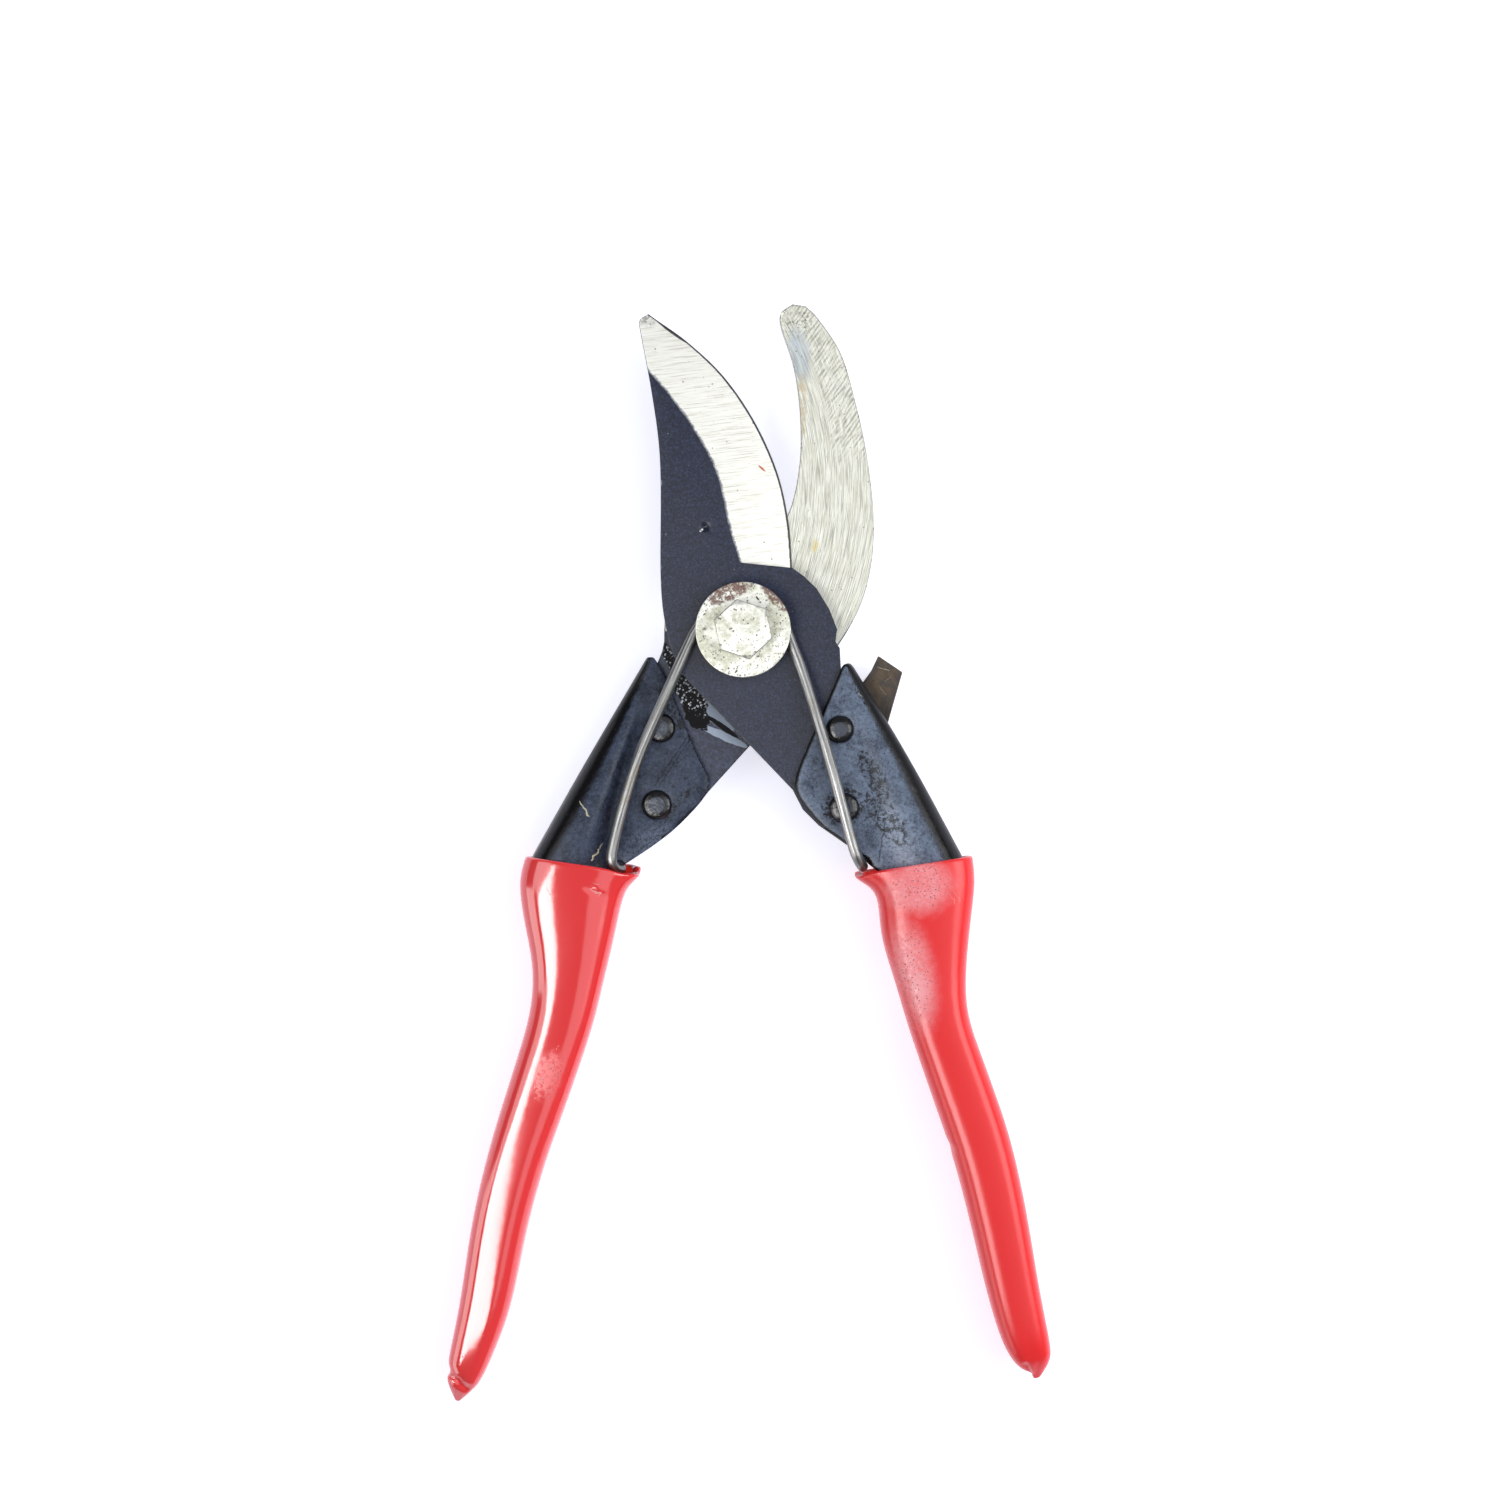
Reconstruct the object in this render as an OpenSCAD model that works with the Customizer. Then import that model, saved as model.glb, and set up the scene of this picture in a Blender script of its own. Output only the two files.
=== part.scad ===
// Bypass pruning shears: a ground blade that passes a hooked counter-blade, riveted
// sheet-steel handles with dipped sleeves, a hairpin spring and a swinging lock lever.
// The pivot axis is Z, through the origin. +Y points to the blade tips, +X to the handle
// that carries the cutting blade, and Z = 0 is the plane that the shears rest on.
// They are drawn fully open.

/* [Pivot] */
// Diameter of the pivot bolt
bolt_d = 6; // [5:0.5:7]
// Width across the flats of the bolt head and of the nut
hex_af = 10; // [9:0.5:12]
// Height of the bolt head
head_h = 3.5; // [2.5:0.5:5]
// Height of the nut
nut_h = 3; // [2.5:0.5:4]
// Diameter of the large washer under the bolt head
washer_d = 18; // [17.5:0.5:22]
// Thickness of the large washer
washer_t = 1.6; // [1:0.1:2.5]
// Diameter of the washer under the counter-blade
back_washer_d = 12.5; // [11:0.5:16]
// Thickness of the washer under the counter-blade
back_washer_t = 1; // [0.8:0.1:1.5]
// Gap between parts that turn on each other
play = 0.05; // [0.03:0.01:0.1]

/* [Blades] */
// Thickness of the counter-blade
hook_t = 3.5; // [3:0.1:4]
// Thickness of the cutting blade
blade_t = 3; // [2.5:0.1:3.5]
// Thickness left at the ground cutting edge
edge_t = 0.2; // [0.1:0.05:0.5]
// Radius of the round hub of the counter-blade
hub_r = 15; // [14:0.5:15.5]
// Angle that the blade side turns from fully open to fully closed
closing_angle = 26; // [20:1:26]

/* [Handles] */
// Thickness of the folded handle sheet
sheet_t = 1.4; // [1:0.1:1.6]
// Thickness of a handle channel at the mouth of its sleeve
channel_t = 10.8; // [9:0.2:11]
// Diameter of the rivet shanks
rivet_d = 4; // [3:0.5:4.5]
// Diameter of the rivet heads
rivet_head_d = 5.6; // [5:0.2:6]
// Height of the rivet heads
rivet_head_h = 1; // [0.6:0.1:1]

/* [Sleeves] */
// Thickness of a sleeve, across the channel
sleeve_t = 15; // [14:0.5:17]
// Wall of a sleeve
sleeve_wall = 1.1; // [0.9:0.1:1.2]
// How square the sleeve's cross-section is, where 2 is an ellipse
squareness = 2.6; // [2.2:0.1:3]

/* [Spring] */
// Diameter of the spring wire
wire_d = 2.1; // [1.6:0.1:2.2]
// Radius of the spring's arch, at the middle of the wire
arch_r = 7.8; // [7.6:0.1:8]

/* [Lock] */
// Thickness of the lock lever
lever_t = 1.6; // [1.2:0.1:1.8]
// Thickness of the washer that holds the lock lever
lock_washer_t = 0.5; // [0.4:0.1:0.8]
// Angle that the lock lever swings from free to locked
lock_angle = 14; // [14:1:15]

/* [Hidden] */
$fn = 48;
eps = 0.01;

// Heights of the stack on the pivot bolt
hook_z = nut_h + back_washer_t;
blade_z = hook_z + hook_t + play;
collar_z = blade_z + blade_t + play;
collar_h = wire_d + 0.2;
washer_z = collar_z + collar_h;
head_z = washer_z + washer_t;
wire_z = collar_z + collar_h / 2;
mid_z = sleeve_t / 2;
collar_d = 2 * arch_r - wire_d - 0.3;

// Outside faces of the sheet cheeks that clamp each tang, low and high
left_cheeks = [hook_z - sheet_t, hook_z + hook_t + sheet_t];
right_cheeks = [blade_z - sheet_t, blade_z + blade_t + sheet_t];
lever_z = right_cheeks[0] - play - lever_t;
lock_washer_z = lever_z - play - lock_washer_t;

// Rivet places, and the depth of a flush rivet tail
sink = 0.8;
left_upper = [-15.7, -18.5];
left_lower = [-16.4, -33.1];
right_upper = [18.3, -18.8];
right_lower = [19.1, -33.6];

// Cutting blade: its back from the tip to the tang, then its ground edge from tip to heel
blade_back = [
    [-18, 60.1], [-19.7, 58.7], [-19.3, 55.5], [-17.5, 46], [-16, 35.5], [-15.6, 26],
    [-15.6, 9], [-14.4, -0.5], [-11.7, -7.8], [-8, -12.1]
];
blade_edge = [
    [-16.9, 59.3], [-10.5, 54.7], [-3.6, 48.1], [2.2, 39.6], [6.5, 30], [8.6, 20.7],
    [9.3, 11.8]
];
// Where the ground bevel begins, one place for each place of the edge
bevel_start = [
    [-25, 56], [-18.5, 49.5], [-13.6, 43.8], [-8.8, 37], [-4.9, 29.2], [-3, 20.8],
    [-0.6, 12.7]
];
blade_shoulder = [[11.5, 10.2], [13.9, 7.9], [16.3, 4], [17.8, 0.2]];
blade_notch = [[17.5, -2.2], [18.3, -3.4], [18.5, -7.2]];
blade_tang = [[36.5, -41.5], [21.5, -42], [14.3, -37], [11.3, -34], [9.4, -30.3]];

// Counter-blade: its inner edge from tip to hub, and its outer edge from tang to tip
hook_inner = [
    [9.4, 62], [7.2, 60.3], [7.2, 57.5], [9.6, 50], [10.8, 41], [10.7, 31.5],
    [8.4, 21.8], [2.6, 14.8]
];
hook_neck = [[-15, -2], [-15.4, -4], [-16.3, -6.2]];
hook_tang = [[-35, -41.5], [-19.5, -42], [-12.4, -37.1], [-7.9, -32.3], [-6.5, -30.5]];
hook_outer = [
    [9.6, -12.7], [15.6, -6.3], [21.6, 3.2], [24.3, 12.2], [24.8, 22], [23.4, 34], [21, 44.8],
    [18.4, 53], [14.2, 59.3], [11.9, 61.6]
];

// Handle outlines from the pivot end to the sleeve: the folded back, then the open front
left_back = [[-18.3, -5], [-29.6, -24.3], [-40.1, -42.9]];
left_front = [
    [-17, -5.1], [-14.6, -8.9], [-12.3, -15], [-9, -22.9], [-6.6, -28], [-7.1, -31.3],
    [-12, -36.8], [-16.7, -40.6], [-22.4, -44.4]
];
right_back = [[20.4, -5.9], [31.4, -23.9], [41.7, -42.8]];
right_front = [
    [18.7, -6.2], [16.7, -11], [12.7, -20.2], [9.7, -27.8], [10.1, -31.6], [14.6, -37.2],
    [18.8, -40.3], [23.6, -44.6]
];

// Sleeve outlines from the mouth to the tip: the palm side, then the finger side
left_palm = [
    [-41.3, -42.9], [-42.5, -47.3], [-41.7, -54.5], [-40, -63.6], [-40.5, -72.5],
    [-44, -84.5], [-48, -97.5], [-51.3, -111.5], [-53.7, -127], [-55.6, -136.5],
    [-56.4, -141.3], [-55.9, -144.9]
];
left_fingers = [
    [-20.3, -45.9], [-22.6, -50], [-24.3, -57.7], [-26.4, -66.5], [-28.7, -75.7],
    [-33.2, -89], [-37.3, -100.5], [-40.7, -112.5], [-44, -128], [-47.1, -136.6],
    [-49.7, -142.4], [-51.7, -145]
];
left_tip = [-54.3, -146.9];
right_palm = [
    [43.5, -42.8], [44, -47.5], [43.2, -55], [42.3, -64.5], [42.7, -73], [46.3, -83.5],
    [50.4, -95.5], [53.4, -108.5], [56.1, -124.3], [58.1, -134.5], [58.6, -138.2],
    [57.9, -140.7]
];
right_fingers = [
    [21.8, -46.1], [25.4, -50], [26.2, -58], [29, -67.3], [31.5, -75.7], [35.7, -88],
    [39.8, -100], [43, -112], [46.5, -126.5], [49.3, -135.4], [51.2, -138.7],
    [53.4, -141.2]
];
right_tip = [55.6, -142.6];
// Half-thickness of a sleeve at each of those places, as a share of the full half
sleeve_swell = [1, 1, 0.98, 0.95, 0.96, 0.99, 1, 0.97, 0.9, 0.8, 0.66, 0.45];
// The place in those outlines where the channel ends inside its sleeve
channel_end = 8;

// Spring legs from the arch to the hook, with their heights above the wire's own plane
left_leg = [
    [-9.5, -1, 0], [-14.3, -11.6, 0], [-19.2, -22.6, 0], [-22.3, -32, 0],
    [-24.5, -40.6, 0], [-24.9, -43.6, 0], [-24.3, -44.9, -0.9], [-23.4, -45.3, -2.8],
    [-23.2, -45.4, -5]
];
right_leg = [
    [9.2, -2.6, 0], [11.6, -9, 0.5], [14.4, -18, 1.7], [16.8, -26.4, 2.4],
    [18.6, -33, 2.5], [20.8, -40.9, 2.3], [21.7, -43.2, 1.7], [22.3, -44.3, 0.3],
    [22.6, -44.7, -1.7], [22.6, -44.7, -4]
];
// Where the ends of the wire go down through the handles' edges, and the lowest height of
// each notch, inside the lower cheek
left_seat = [-23.7, -45.2, 5.5];
right_seat = [22.5, -44.6, 7.6];
// Height of the left handle's upper flange where it enters the sleeve
flange_z = 9.9;

// Lock lever, as it lies when free: the thumb tab, the catch and the round boss
boss_r = 3.7;
lever_tab = [[30.3, -7.9], [25.7, -4.8], [24.4, -7.6], [22.4, -10.3]];
lever_catch = [[19.6, -10.8], [16.8, -10.6], [16.3, -12.6], [17.9, -13.8]];

// Curves -------------------------------------------------------------------------------

function mix(a, b, f) = a + (b - a) * f;
function unit(v) = v / norm(v);
function ease(f) = let (g = min(max(f, 0), 1)) g * g * (3 - 2 * g);

// Catmull-Rom curve through the points, at place t from 0 to the last index
function curve_at(p, t) =
    let (
        n = len(p) - 1, i = min(floor(t), n - 1), f = t - i,
        b = p[i], c = p[i + 1],
        a = i > 0 ? p[i - 1] : 2 * b - c,
        d = i < n - 1 ? p[i + 2] : 2 * c - b
    )
    b + 0.5 * f * (c - a + f * (2 * a - 5 * b + 4 * c - d + f * (3 * (b - c) + d - a)));
function curve(p, steps) =
    [for (i = [0 : (len(p) - 1) * steps]) curve_at(p, i / steps)];

// The point at share f of a path's length
function lengths(p) =
    [for (i = 0, s = 0; i < len(p); i = i + 1, s = i < len(p) ? s + norm(p[i] - p[i - 1]) : s) s];
function along(p, f) =
    let (s = lengths(p), at = f * s[len(p) - 1])
    [for (axis = [0, 1]) lookup(at, [for (i = [0 : len(p) - 1]) [s[i], p[i][axis]]])];

// Meshes -------------------------------------------------------------------------------

// Two triangles for the four-sided patch a, b, c, d
function patch(a, b, c, d) = [[a, b, c], [a, c, d]];
function join(lists) = [for (l = lists) each l];
function flipped(faces, flip) =
    flip ? [for (f = faces) [f[2], f[1], f[0]]] : faces;

// Side faces between closed rings of m points, from ring first to ring last
function side_faces(first, last, m, start = 0) =
    join([for (i = [first : last - 1], k = [0 : m - 1])
        let (a = start + i * m, b = a + m, n = (k + 1) % m)
        patch(a + k, a + n, b + n, b + k)]);
function fan(start, m, pole, flip) =
    flipped([for (k = [0 : m - 1]) [start + k, start + (k + 1) % m, pole]], flip);

// A solid through closed rings of the same number of points, with flat ends
module ring_loft(rings, flip = false) {
    m = len(rings[0]);
    n = len(rings);
    ends = join([for (k = [1 : m - 2])
        [[0, k + 1, k], [(n - 1) * m, (n - 1) * m + k, (n - 1) * m + k + 1]]]);
    polyhedron(join(rings), flipped(concat(side_faces(0, n - 1, m), ends), flip));
}

// Round tube along a path
module tube(path, r, sides = 10) {
    n = len(path);
    ways = [for (i = [0 : n - 1]) unit(path[min(i + 1, n - 1)] - path[max(i - 1, 0)])];
    ups = [for (
        i = 0, u = [0, 0, 1];
        i < n;
        i = i + 1, u = i < n ? unit(u - (u * ways[i]) * ways[i]) : u
    ) u];
    ring_loft([for (i = [0 : n - 1])
        [for (k = [0 : sides - 1])
            let (a = 360 * k / sides)
            path[i] + r * (cos(a) * ups[i] + sin(a) * cross(ways[i], ups[i]))]],
        flip = true);
}

module ring(d, bore, h) {
    difference() {
        cylinder(d = d, h = h);
        translate([0, 0, -1]) cylinder(d = bore, h = h + 2);
    }
}

module hexagon(af, h) {
    rotate(42) cylinder(d = af / cos(30), h = h, $fn = 6);
}

// Blades -------------------------------------------------------------------------------

module blade_outline() {
    polygon(concat(
        curve(blade_back, 5),
        [for (i = [len(blade_tang) - 1 : -1 : 0]) blade_tang[i]],
        [for (i = [len(blade_notch) - 1 : -1 : 0]) blade_notch[i]],
        [for (i = [len(blade_shoulder) - 1 : -1 : 0]) blade_shoulder[i]],
        let (e = curve(blade_edge, 5)) [for (i = [len(e) - 1 : -1 : 0]) e[i]]
    ));
}

// What the grinding wheel takes off: a sloping slab from the bevel's start past the edge
module bevel_cut() {
    fall = blade_t - edge_t;
    top = blade_z + blade_t;
    over = 0.15;
    edge = curve(concat([[-20, 61.7]], blade_edge), 5);
    start = curve(concat([[-29, 60]], bevel_start), 5);
    ring_loft([for (i = [0 : len(edge) - 1])
        let (
            way = edge[i] - start[i],
            near = start[i] - over * way,
            far = edge[i] + over * way
        )
        [
            [near.x, near.y, top + over * fall],
            [far.x, far.y, top - (1 + over) * fall],
            [far.x, far.y, top + 2],
            [near.x, near.y, top + 2]
        ]], flip = true);
}

module cutting_blade() {
    color([0.25, 0.28, 0.34])
    difference() {
        translate([0, 0, blade_z]) linear_extrude(blade_t) blade_outline();
        bevel_cut();
        translate([0, 0, blade_z - 1]) cylinder(d = bolt_d + 2 * play, h = blade_t + 2);
        for (p = [right_upper, right_lower])
            translate([p.x, p.y, blade_z - 1]) cylinder(d = rivet_d, h = blade_t + 2);
        // A punched locating dimple
        translate([-7.2, 19.5, blade_z + blade_t - 0.6]) cylinder(r1 = 0.2, r2 = 1.1, h = 0.7);
    }
}

module hook_outline() {
    from_inner = atan2(hook_inner[7].y, hook_inner[7].x);
    polygon(concat(
        curve(hook_inner, 5),
        [for (i = [1 : 16]) let (a = mix(from_inner, 180, i / 16)) hub_r * [cos(a), sin(a)]],
        hook_neck,
        hook_tang,
        curve(hook_outer, 5)
    ));
}

// The catch's own outline, grown by a clearance
function catch_outline(grow) =
    let (p = lever_catch)
    [p[0] + [1, 0.5] * grow, p[1] + [-1, 1] * grow, p[2] + [-1, -1] * grow,
        p[3] + [0.5, -1.4] * grow, p[3] + [3, 0.5], p[0] + [3, 1.5]];

// Puts the lock lever's outline where it lies when locked, or turned by another angle
module swung(angle) {
    translate(right_lower) rotate(angle) translate(-right_lower) children();
}

module counter_blade() {
    color([0.78, 0.77, 0.74])
    difference() {
        translate([0, 0, hook_z]) linear_extrude(hook_t) hook_outline();
        translate([0, 0, hook_z - 1]) cylinder(d = bolt_d + 2 * play, h = hook_t + 2);
        for (p = [left_upper, left_lower])
            translate([p.x, p.y, hook_z - 1]) cylinder(d = rivet_d, h = hook_t + 2);
        // The notch that the lock's catch drops into when the shears are closed
        translate([0, 0, hook_z - 1]) linear_extrude(hook_t + 2)
            rotate(-closing_angle) swung(lock_angle) polygon(catch_outline(0.4));
    }
}

// Handles ------------------------------------------------------------------------------

arc_steps = 6;
ramp_steps = 4;

// One side of a channel's section, from the open front to the fold at the back: pairs of
// distance from the back and height. The face lies at z_flat where it clamps the tang,
// rises to z_crest over the fold, and meets the other side at z_mid
function half_section(w, fold, crest_end, valley, z_flat, z_crest, z_mid) = concat(
    [[w, z_flat], [mix(valley, w, 0.5), z_flat]],
    [for (i = [0 : ramp_steps])
        let (f = i / ramp_steps)
        [mix(valley, crest_end, f), mix(z_flat, z_crest, ease(f))]],
    [for (i = [0 : arc_steps])
        let (a = 90 * (1 - i / arc_steps))
        [fold * (1 - cos(a)), z_mid + (z_crest - z_mid) * sin(a)]]
);

// The whole section: high side from front to back, then low side from back to front
function section(w, fold, valleys, flats, crests) =
    let (
        z_mid = (crests[0] + crests[1]) / 2,
        side = [for (i = [0, 1])
            let (v = min(valleys[i], w - 0.3), f = min(fold, 0.7 * v))
            half_section(w, f, mix(f, v, 0.35), v, flats[i], crests[i], z_mid)],
        n = len(side[0])
    )
    concat(side[1], [for (i = [n - 2 : -1 : 0]) side[0][i]]);

// The same number of points on the open-fronted oval that the channel takes in its sleeve
function oval_section(w, half_t, count) =
    [for (i = [0 : count - 1])
        let (a = mix(38, 322, i / (count - 1)))
        [w / 2 * (1 + oval(a, 0)), mid_z + half_t * oval(a, 1)]];
function oval(a, axis) =
    let (c = axis == 0 ? cos(a) : sin(a)) sign(c) * pow(abs(c), 2 / squareness);

// A section placed in the upright plane from the back point to the front point
function placed(back, front, pts) =
    let (way = unit(front - back))
    [for (p = pts) [back.x + way.x * p.x, back.y + way.y * p.x, p.y]];

// Outer and inner skin of the clamping part at share f from the pivot end to the sleeve,
// w wide. The low side's valley and rise begin late where something lies under the channel,
// and the high side's flange rises a little at the sleeve where its cheek lies low
function clamp_section(w, cheeks, late, f) =
    let (
        fold = 1 + 3.6 * (1 - pow(1 - f, 2)),
        low_f = (f - late) / (1 - late),
        valleys = [mix(late > 0 ? 2.5 : 1.5, 14, min(max(low_f * (late > 0 ? 1.35 : 1), 0), 1)),
            mix(1.5, 14, f)],
        crests = [
            mix(cheeks[0], mid_z - channel_t / 2, ease(low_f)),
            mix(cheeks[1], mid_z + channel_t / 2, ease(f / 0.95))
        ],
        rise = max(flange_z - cheeks[1], 0) * ease((f - 0.74) / 0.26),
        flats = cheeks + [0, rise],
        inset = [sheet_t, -sheet_t],
        outer = section(w, fold, valleys, flats, crests),
        inner = [for (p = section(w - sheet_t, max(fold - sheet_t, 0.3),
                valleys - [sheet_t, sheet_t], flats + inset, crests + inset))
            [p.x + sheet_t, p.y]]
    )
    skins(outer, inner);
function skins(outer, inner) =
    concat(outer, [for (i = [len(inner) - 1 : -1 : 0]) inner[i]]);

// The same two skins on the open-fronted oval inside the sleeve, w wide and 2 half_t thick
function hidden_section(w, half_t, count) = skins(
    oval_section(w, half_t, count),
    [for (p = oval_section(w - 2 * sheet_t, half_t - sheet_t, count)) [p.x + sheet_t, p.y]]
);

// A channel's section inside the sleeve at place t, blended from its section at the mouth
function hidden_ring(palm, fingers, mouth, mouth_w, t) =
    let (
        a = curve_at(palm, t), b = curve_at(fingers, t), way = unit(b - a),
        gap = sleeve_wall + 0.4,
        w = norm(b - a) - 2 * gap,
        oval_ring = hidden_section(w, half_thickness(t) - gap, len(mouth) / 2),
        blend = ease(t / 1.3),
        scale_w = 0.9 * w / mouth_w
    )
    placed(a + gap * way, b, [for (i = [0 : len(mouth) - 1])
        mix([mouth[i].x * scale_w, mouth[i].y], oval_ring[i], blend)]);
function half_thickness(t) =
    sleeve_t / 2 * curve_at([for (s = sleeve_swell) [s, 0]], t).x;

// Faces of a channel: rings of an outer and an inner skin, closed at both ends
module channel(rings, flip) {
    m = len(rings[0]);
    n = len(rings);
    half = m / 2;
    ends = join([for (k = [0 : half - 2])
        concat(
            patch(k + 1, k, m - 1 - k, m - 2 - k),
            let (s = (n - 1) * m) patch(s + k, s + k + 1, s + m - 2 - k, s + m - 1 - k)
        )]);
    polyhedron(join(rings), flipped(concat(side_faces(0, n - 1, m), ends), flip));
}

module handle(backs, fronts, cheeks, late, palm, fingers, flip) {
    back_path = curve(backs, 6);
    front_path = curve(fronts, 6);
    last = 26;
    clamp = [for (i = [0 : last])
        let (b = along(back_path, i / last), f = along(front_path, i / last))
        placed(b, f, clamp_section(norm(f - b), cheeks, late, i / last))];
    mouth_w = norm(fronts[len(fronts) - 1] - backs[len(backs) - 1]);
    mouth = clamp_section(mouth_w, cheeks, late, 1);
    hidden = [for (t = [0.2, 0.4, 0.65, 0.95, 1.3, 1.7, 2.2, 2.7, 3.3, 4, 5, 6, 7, channel_end])
        hidden_ring(palm, fingers, mouth, mouth_w, t)];
    channel(concat(clamp, hidden), flip);
}

module left_handle() {
    color([0.15, 0.16, 0.2])
    difference() {
        handle(left_back, left_front, left_cheeks, 0, left_palm, left_fingers, flip = true);
        for (p = [left_upper, left_lower])
            translate([p.x, p.y, 0]) cylinder(d = rivet_d, h = sleeve_t);
        translate(left_seat) cylinder(d = wire_d + 0.9, h = sleeve_t);
    }
}

module right_handle() {
    color([0.15, 0.16, 0.2])
    difference() {
        handle(right_back, right_front, right_cheeks, 0.42, right_palm, right_fingers,
            flip = false);
        for (p = [right_upper, right_lower])
            translate([p.x, p.y, 0]) cylinder(d = rivet_d, h = sleeve_t);
        translate(right_seat) cylinder(d = wire_d + 0.9, h = sleeve_t);
        // The upper rivet's flush tail, which the lock lever passes over
        translate([right_upper.x, right_upper.y, right_cheeks[0]])
            cylinder(d1 = rivet_d + 2 * sink, d2 = rivet_d, h = sink);
    }
}

// Sleeves ------------------------------------------------------------------------------

sleeve_sides = 26;

// One ring of a sleeve at place t, drawn in by inset. The rim dips where the spring passes
function sleeve_section(palm, fingers, t, inset) =
    let (
        a = curve_at(palm, t), b = curve_at(fingers, t), way = unit(b - a),
        mid = (a + b) / 2, half_w = norm(b - a) / 2 - inset,
        half_t = half_thickness(t) - inset,
        down = unit(curve_at(fingers, t + 0.2) - b)
    )
    [for (k = [0 : sleeve_sides - 1])
        let (
            ang = 360 * k / sleeve_sides,
            x = half_w * oval(ang, 0),
            dip = t < 0.3 ? 1.2 * exp(-pow((ang - 42) / 20, 2)) : 0
        )
        [mid.x + way.x * x + down.x * dip, mid.y + way.y * x + down.y * dip,
            mid_z + half_t * oval(ang, 1)]];

module sleeve(palm, fingers, tip, flip) {
    last = len(palm) - 1;
    m = sleeve_sides;
    outside = [for (i = [0 : last * 3]) sleeve_section(palm, fingers, i / 3, 0)];
    inside = [for (i = [0 : (channel_end + 0.5) * 2])
        sleeve_section(palm, fingers, i / 2, sleeve_wall)];
    no = len(outside);
    ni = len(inside);
    points = concat(join(outside), join(inside), [
        [tip.x, tip.y, mid_z],
        let (p = inside[ni - 1]) (p[0] + p[m / 2]) / 2
    ]);
    start = no * m;
    faces = concat(
        side_faces(0, no - 1, m),
        fan((no - 1) * m, m, start + ni * m, false),
        flipped(side_faces(0, ni - 1, m, start), true),
        fan(start + (ni - 1) * m, m, start + ni * m + 1, true),
        join([for (k = [0 : m - 1])
            let (n = (k + 1) % m) patch(k, start + k, start + n, n)])
    );
    polyhedron(points, flipped(faces, flip));
}

module left_grip() {
    color([0.92, 0.2, 0.2]) sleeve(left_palm, left_fingers, left_tip, flip = true);
}

module right_grip() {
    color([0.92, 0.2, 0.2]) sleeve(right_palm, right_fingers, right_tip, flip = false);
}

// Fasteners ----------------------------------------------------------------------------

// A rivet between two cheek faces, with a raised head on the high side and on the low
// side either the same or a tail that is set flush into the sheet
module rivet(place, low, high, head_d = rivet_head_d, flush = false) {
    r = head_d / 2;
    h = rivet_head_h;
    shank = rivet_d / 2;
    tail = flush
        ? [[0, low], [shank + sink, low], [shank, low + sink]]
        : [[0, low - h], [0.55 * r, low - h], [0.86 * r, low - 0.75 * h], [r, low - 0.3 * h],
            [r, low], [shank, low]];
    head = [[shank, high], [r, high], [r, high + 0.3 * h], [0.86 * r, high + 0.75 * h],
        [0.55 * r, high + h], [0, high + h]];
    translate([place.x, place.y, 0]) rotate_extrude() polygon(concat(tail, head));
}

module left_rivet_upper() {
    color([0.2, 0.2, 0.22]) rivet(left_upper, left_cheeks[0], left_cheeks[1]);
}
module left_rivet_lower() {
    color([0.2, 0.2, 0.22]) rivet(left_lower, left_cheeks[0], left_cheeks[1]);
}
module right_rivet_upper() {
    color([0.2, 0.2, 0.22]) rivet(right_upper, right_cheeks[0], right_cheeks[1], 4.9, flush = true);
}
module right_rivet_lower() {
    color([0.2, 0.2, 0.22]) rivet(right_lower, lock_washer_z, right_cheeks[1]);
}

module pivot_bolt() {
    color([0.8, 0.78, 0.7]) {
        cylinder(d = bolt_d, h = head_z + eps);
        translate([0, 0, head_z]) intersection() {
            hexagon(hex_af, head_h);
            cylinder(d1 = hex_af + 2 * head_h + 3, d2 = hex_af - 0.4, h = head_h);
        }
    }
}

module pivot_nut() {
    color([0.8, 0.78, 0.7])
    difference() {
        hexagon(hex_af, nut_h);
        translate([0, 0, -1]) cylinder(d = bolt_d + 0.04, h = nut_h + 2);
    }
}

module pivot_washer() {
    color([0.85, 0.83, 0.74])
        translate([0, 0, washer_z]) ring(washer_d, bolt_d + 0.04, washer_t);
}

module back_washer() {
    color([0.75, 0.74, 0.7])
        translate([0, 0, nut_h]) ring(back_washer_d, bolt_d + 0.04, back_washer_t);
}

module spring_collar() {
    color([0.6, 0.6, 0.6])
        translate([0, 0, collar_z]) ring(collar_d, bolt_d + 0.04, collar_h);
}

// Spring -------------------------------------------------------------------------------

module hairpin_spring() {
    left = [for (p = curve(left_leg, 3)) p + [0, 0, wire_z]];
    right = [for (p = curve(right_leg, 3)) p + [0, 0, wire_z]];
    arch = [for (i = [0 : 14])
        let (a = mix(162, 18, i / 14)) [arch_r * cos(a), arch_r * sin(a), wire_z]];
    color([0.65, 0.65, 0.62])
        tube(concat([for (i = [len(left) - 1 : -1 : 0]) left[i]], arch, right), wire_d / 2);
}

// Lock ---------------------------------------------------------------------------------

module lever_outline() {
    side = boss_r * [sin(74), -cos(74)];
    polygon(concat(
        [right_lower + side],
        lever_tab,
        lever_catch,
        [right_lower + boss_r * [-0.97, 0.24]],
        [for (a = [190 : 20 : 330]) right_lower + boss_r * [cos(a), sin(a)]]
    ));
}

module lock_lever() {
    color([0.22, 0.17, 0.13])
    difference() {
        translate([0, 0, lever_z]) linear_extrude(lever_t) lever_outline();
        translate([right_lower.x, right_lower.y, lever_z - 1])
            cylinder(d = rivet_d + 2 * play, h = lever_t + 2);
    }
}

module lock_washer() {
    color([0.5, 0.5, 0.5])
        translate([right_lower.x, right_lower.y, lock_washer_z])
            ring(rivet_head_d + 0.6, rivet_d + 0.04, lock_washer_t);
}

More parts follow.
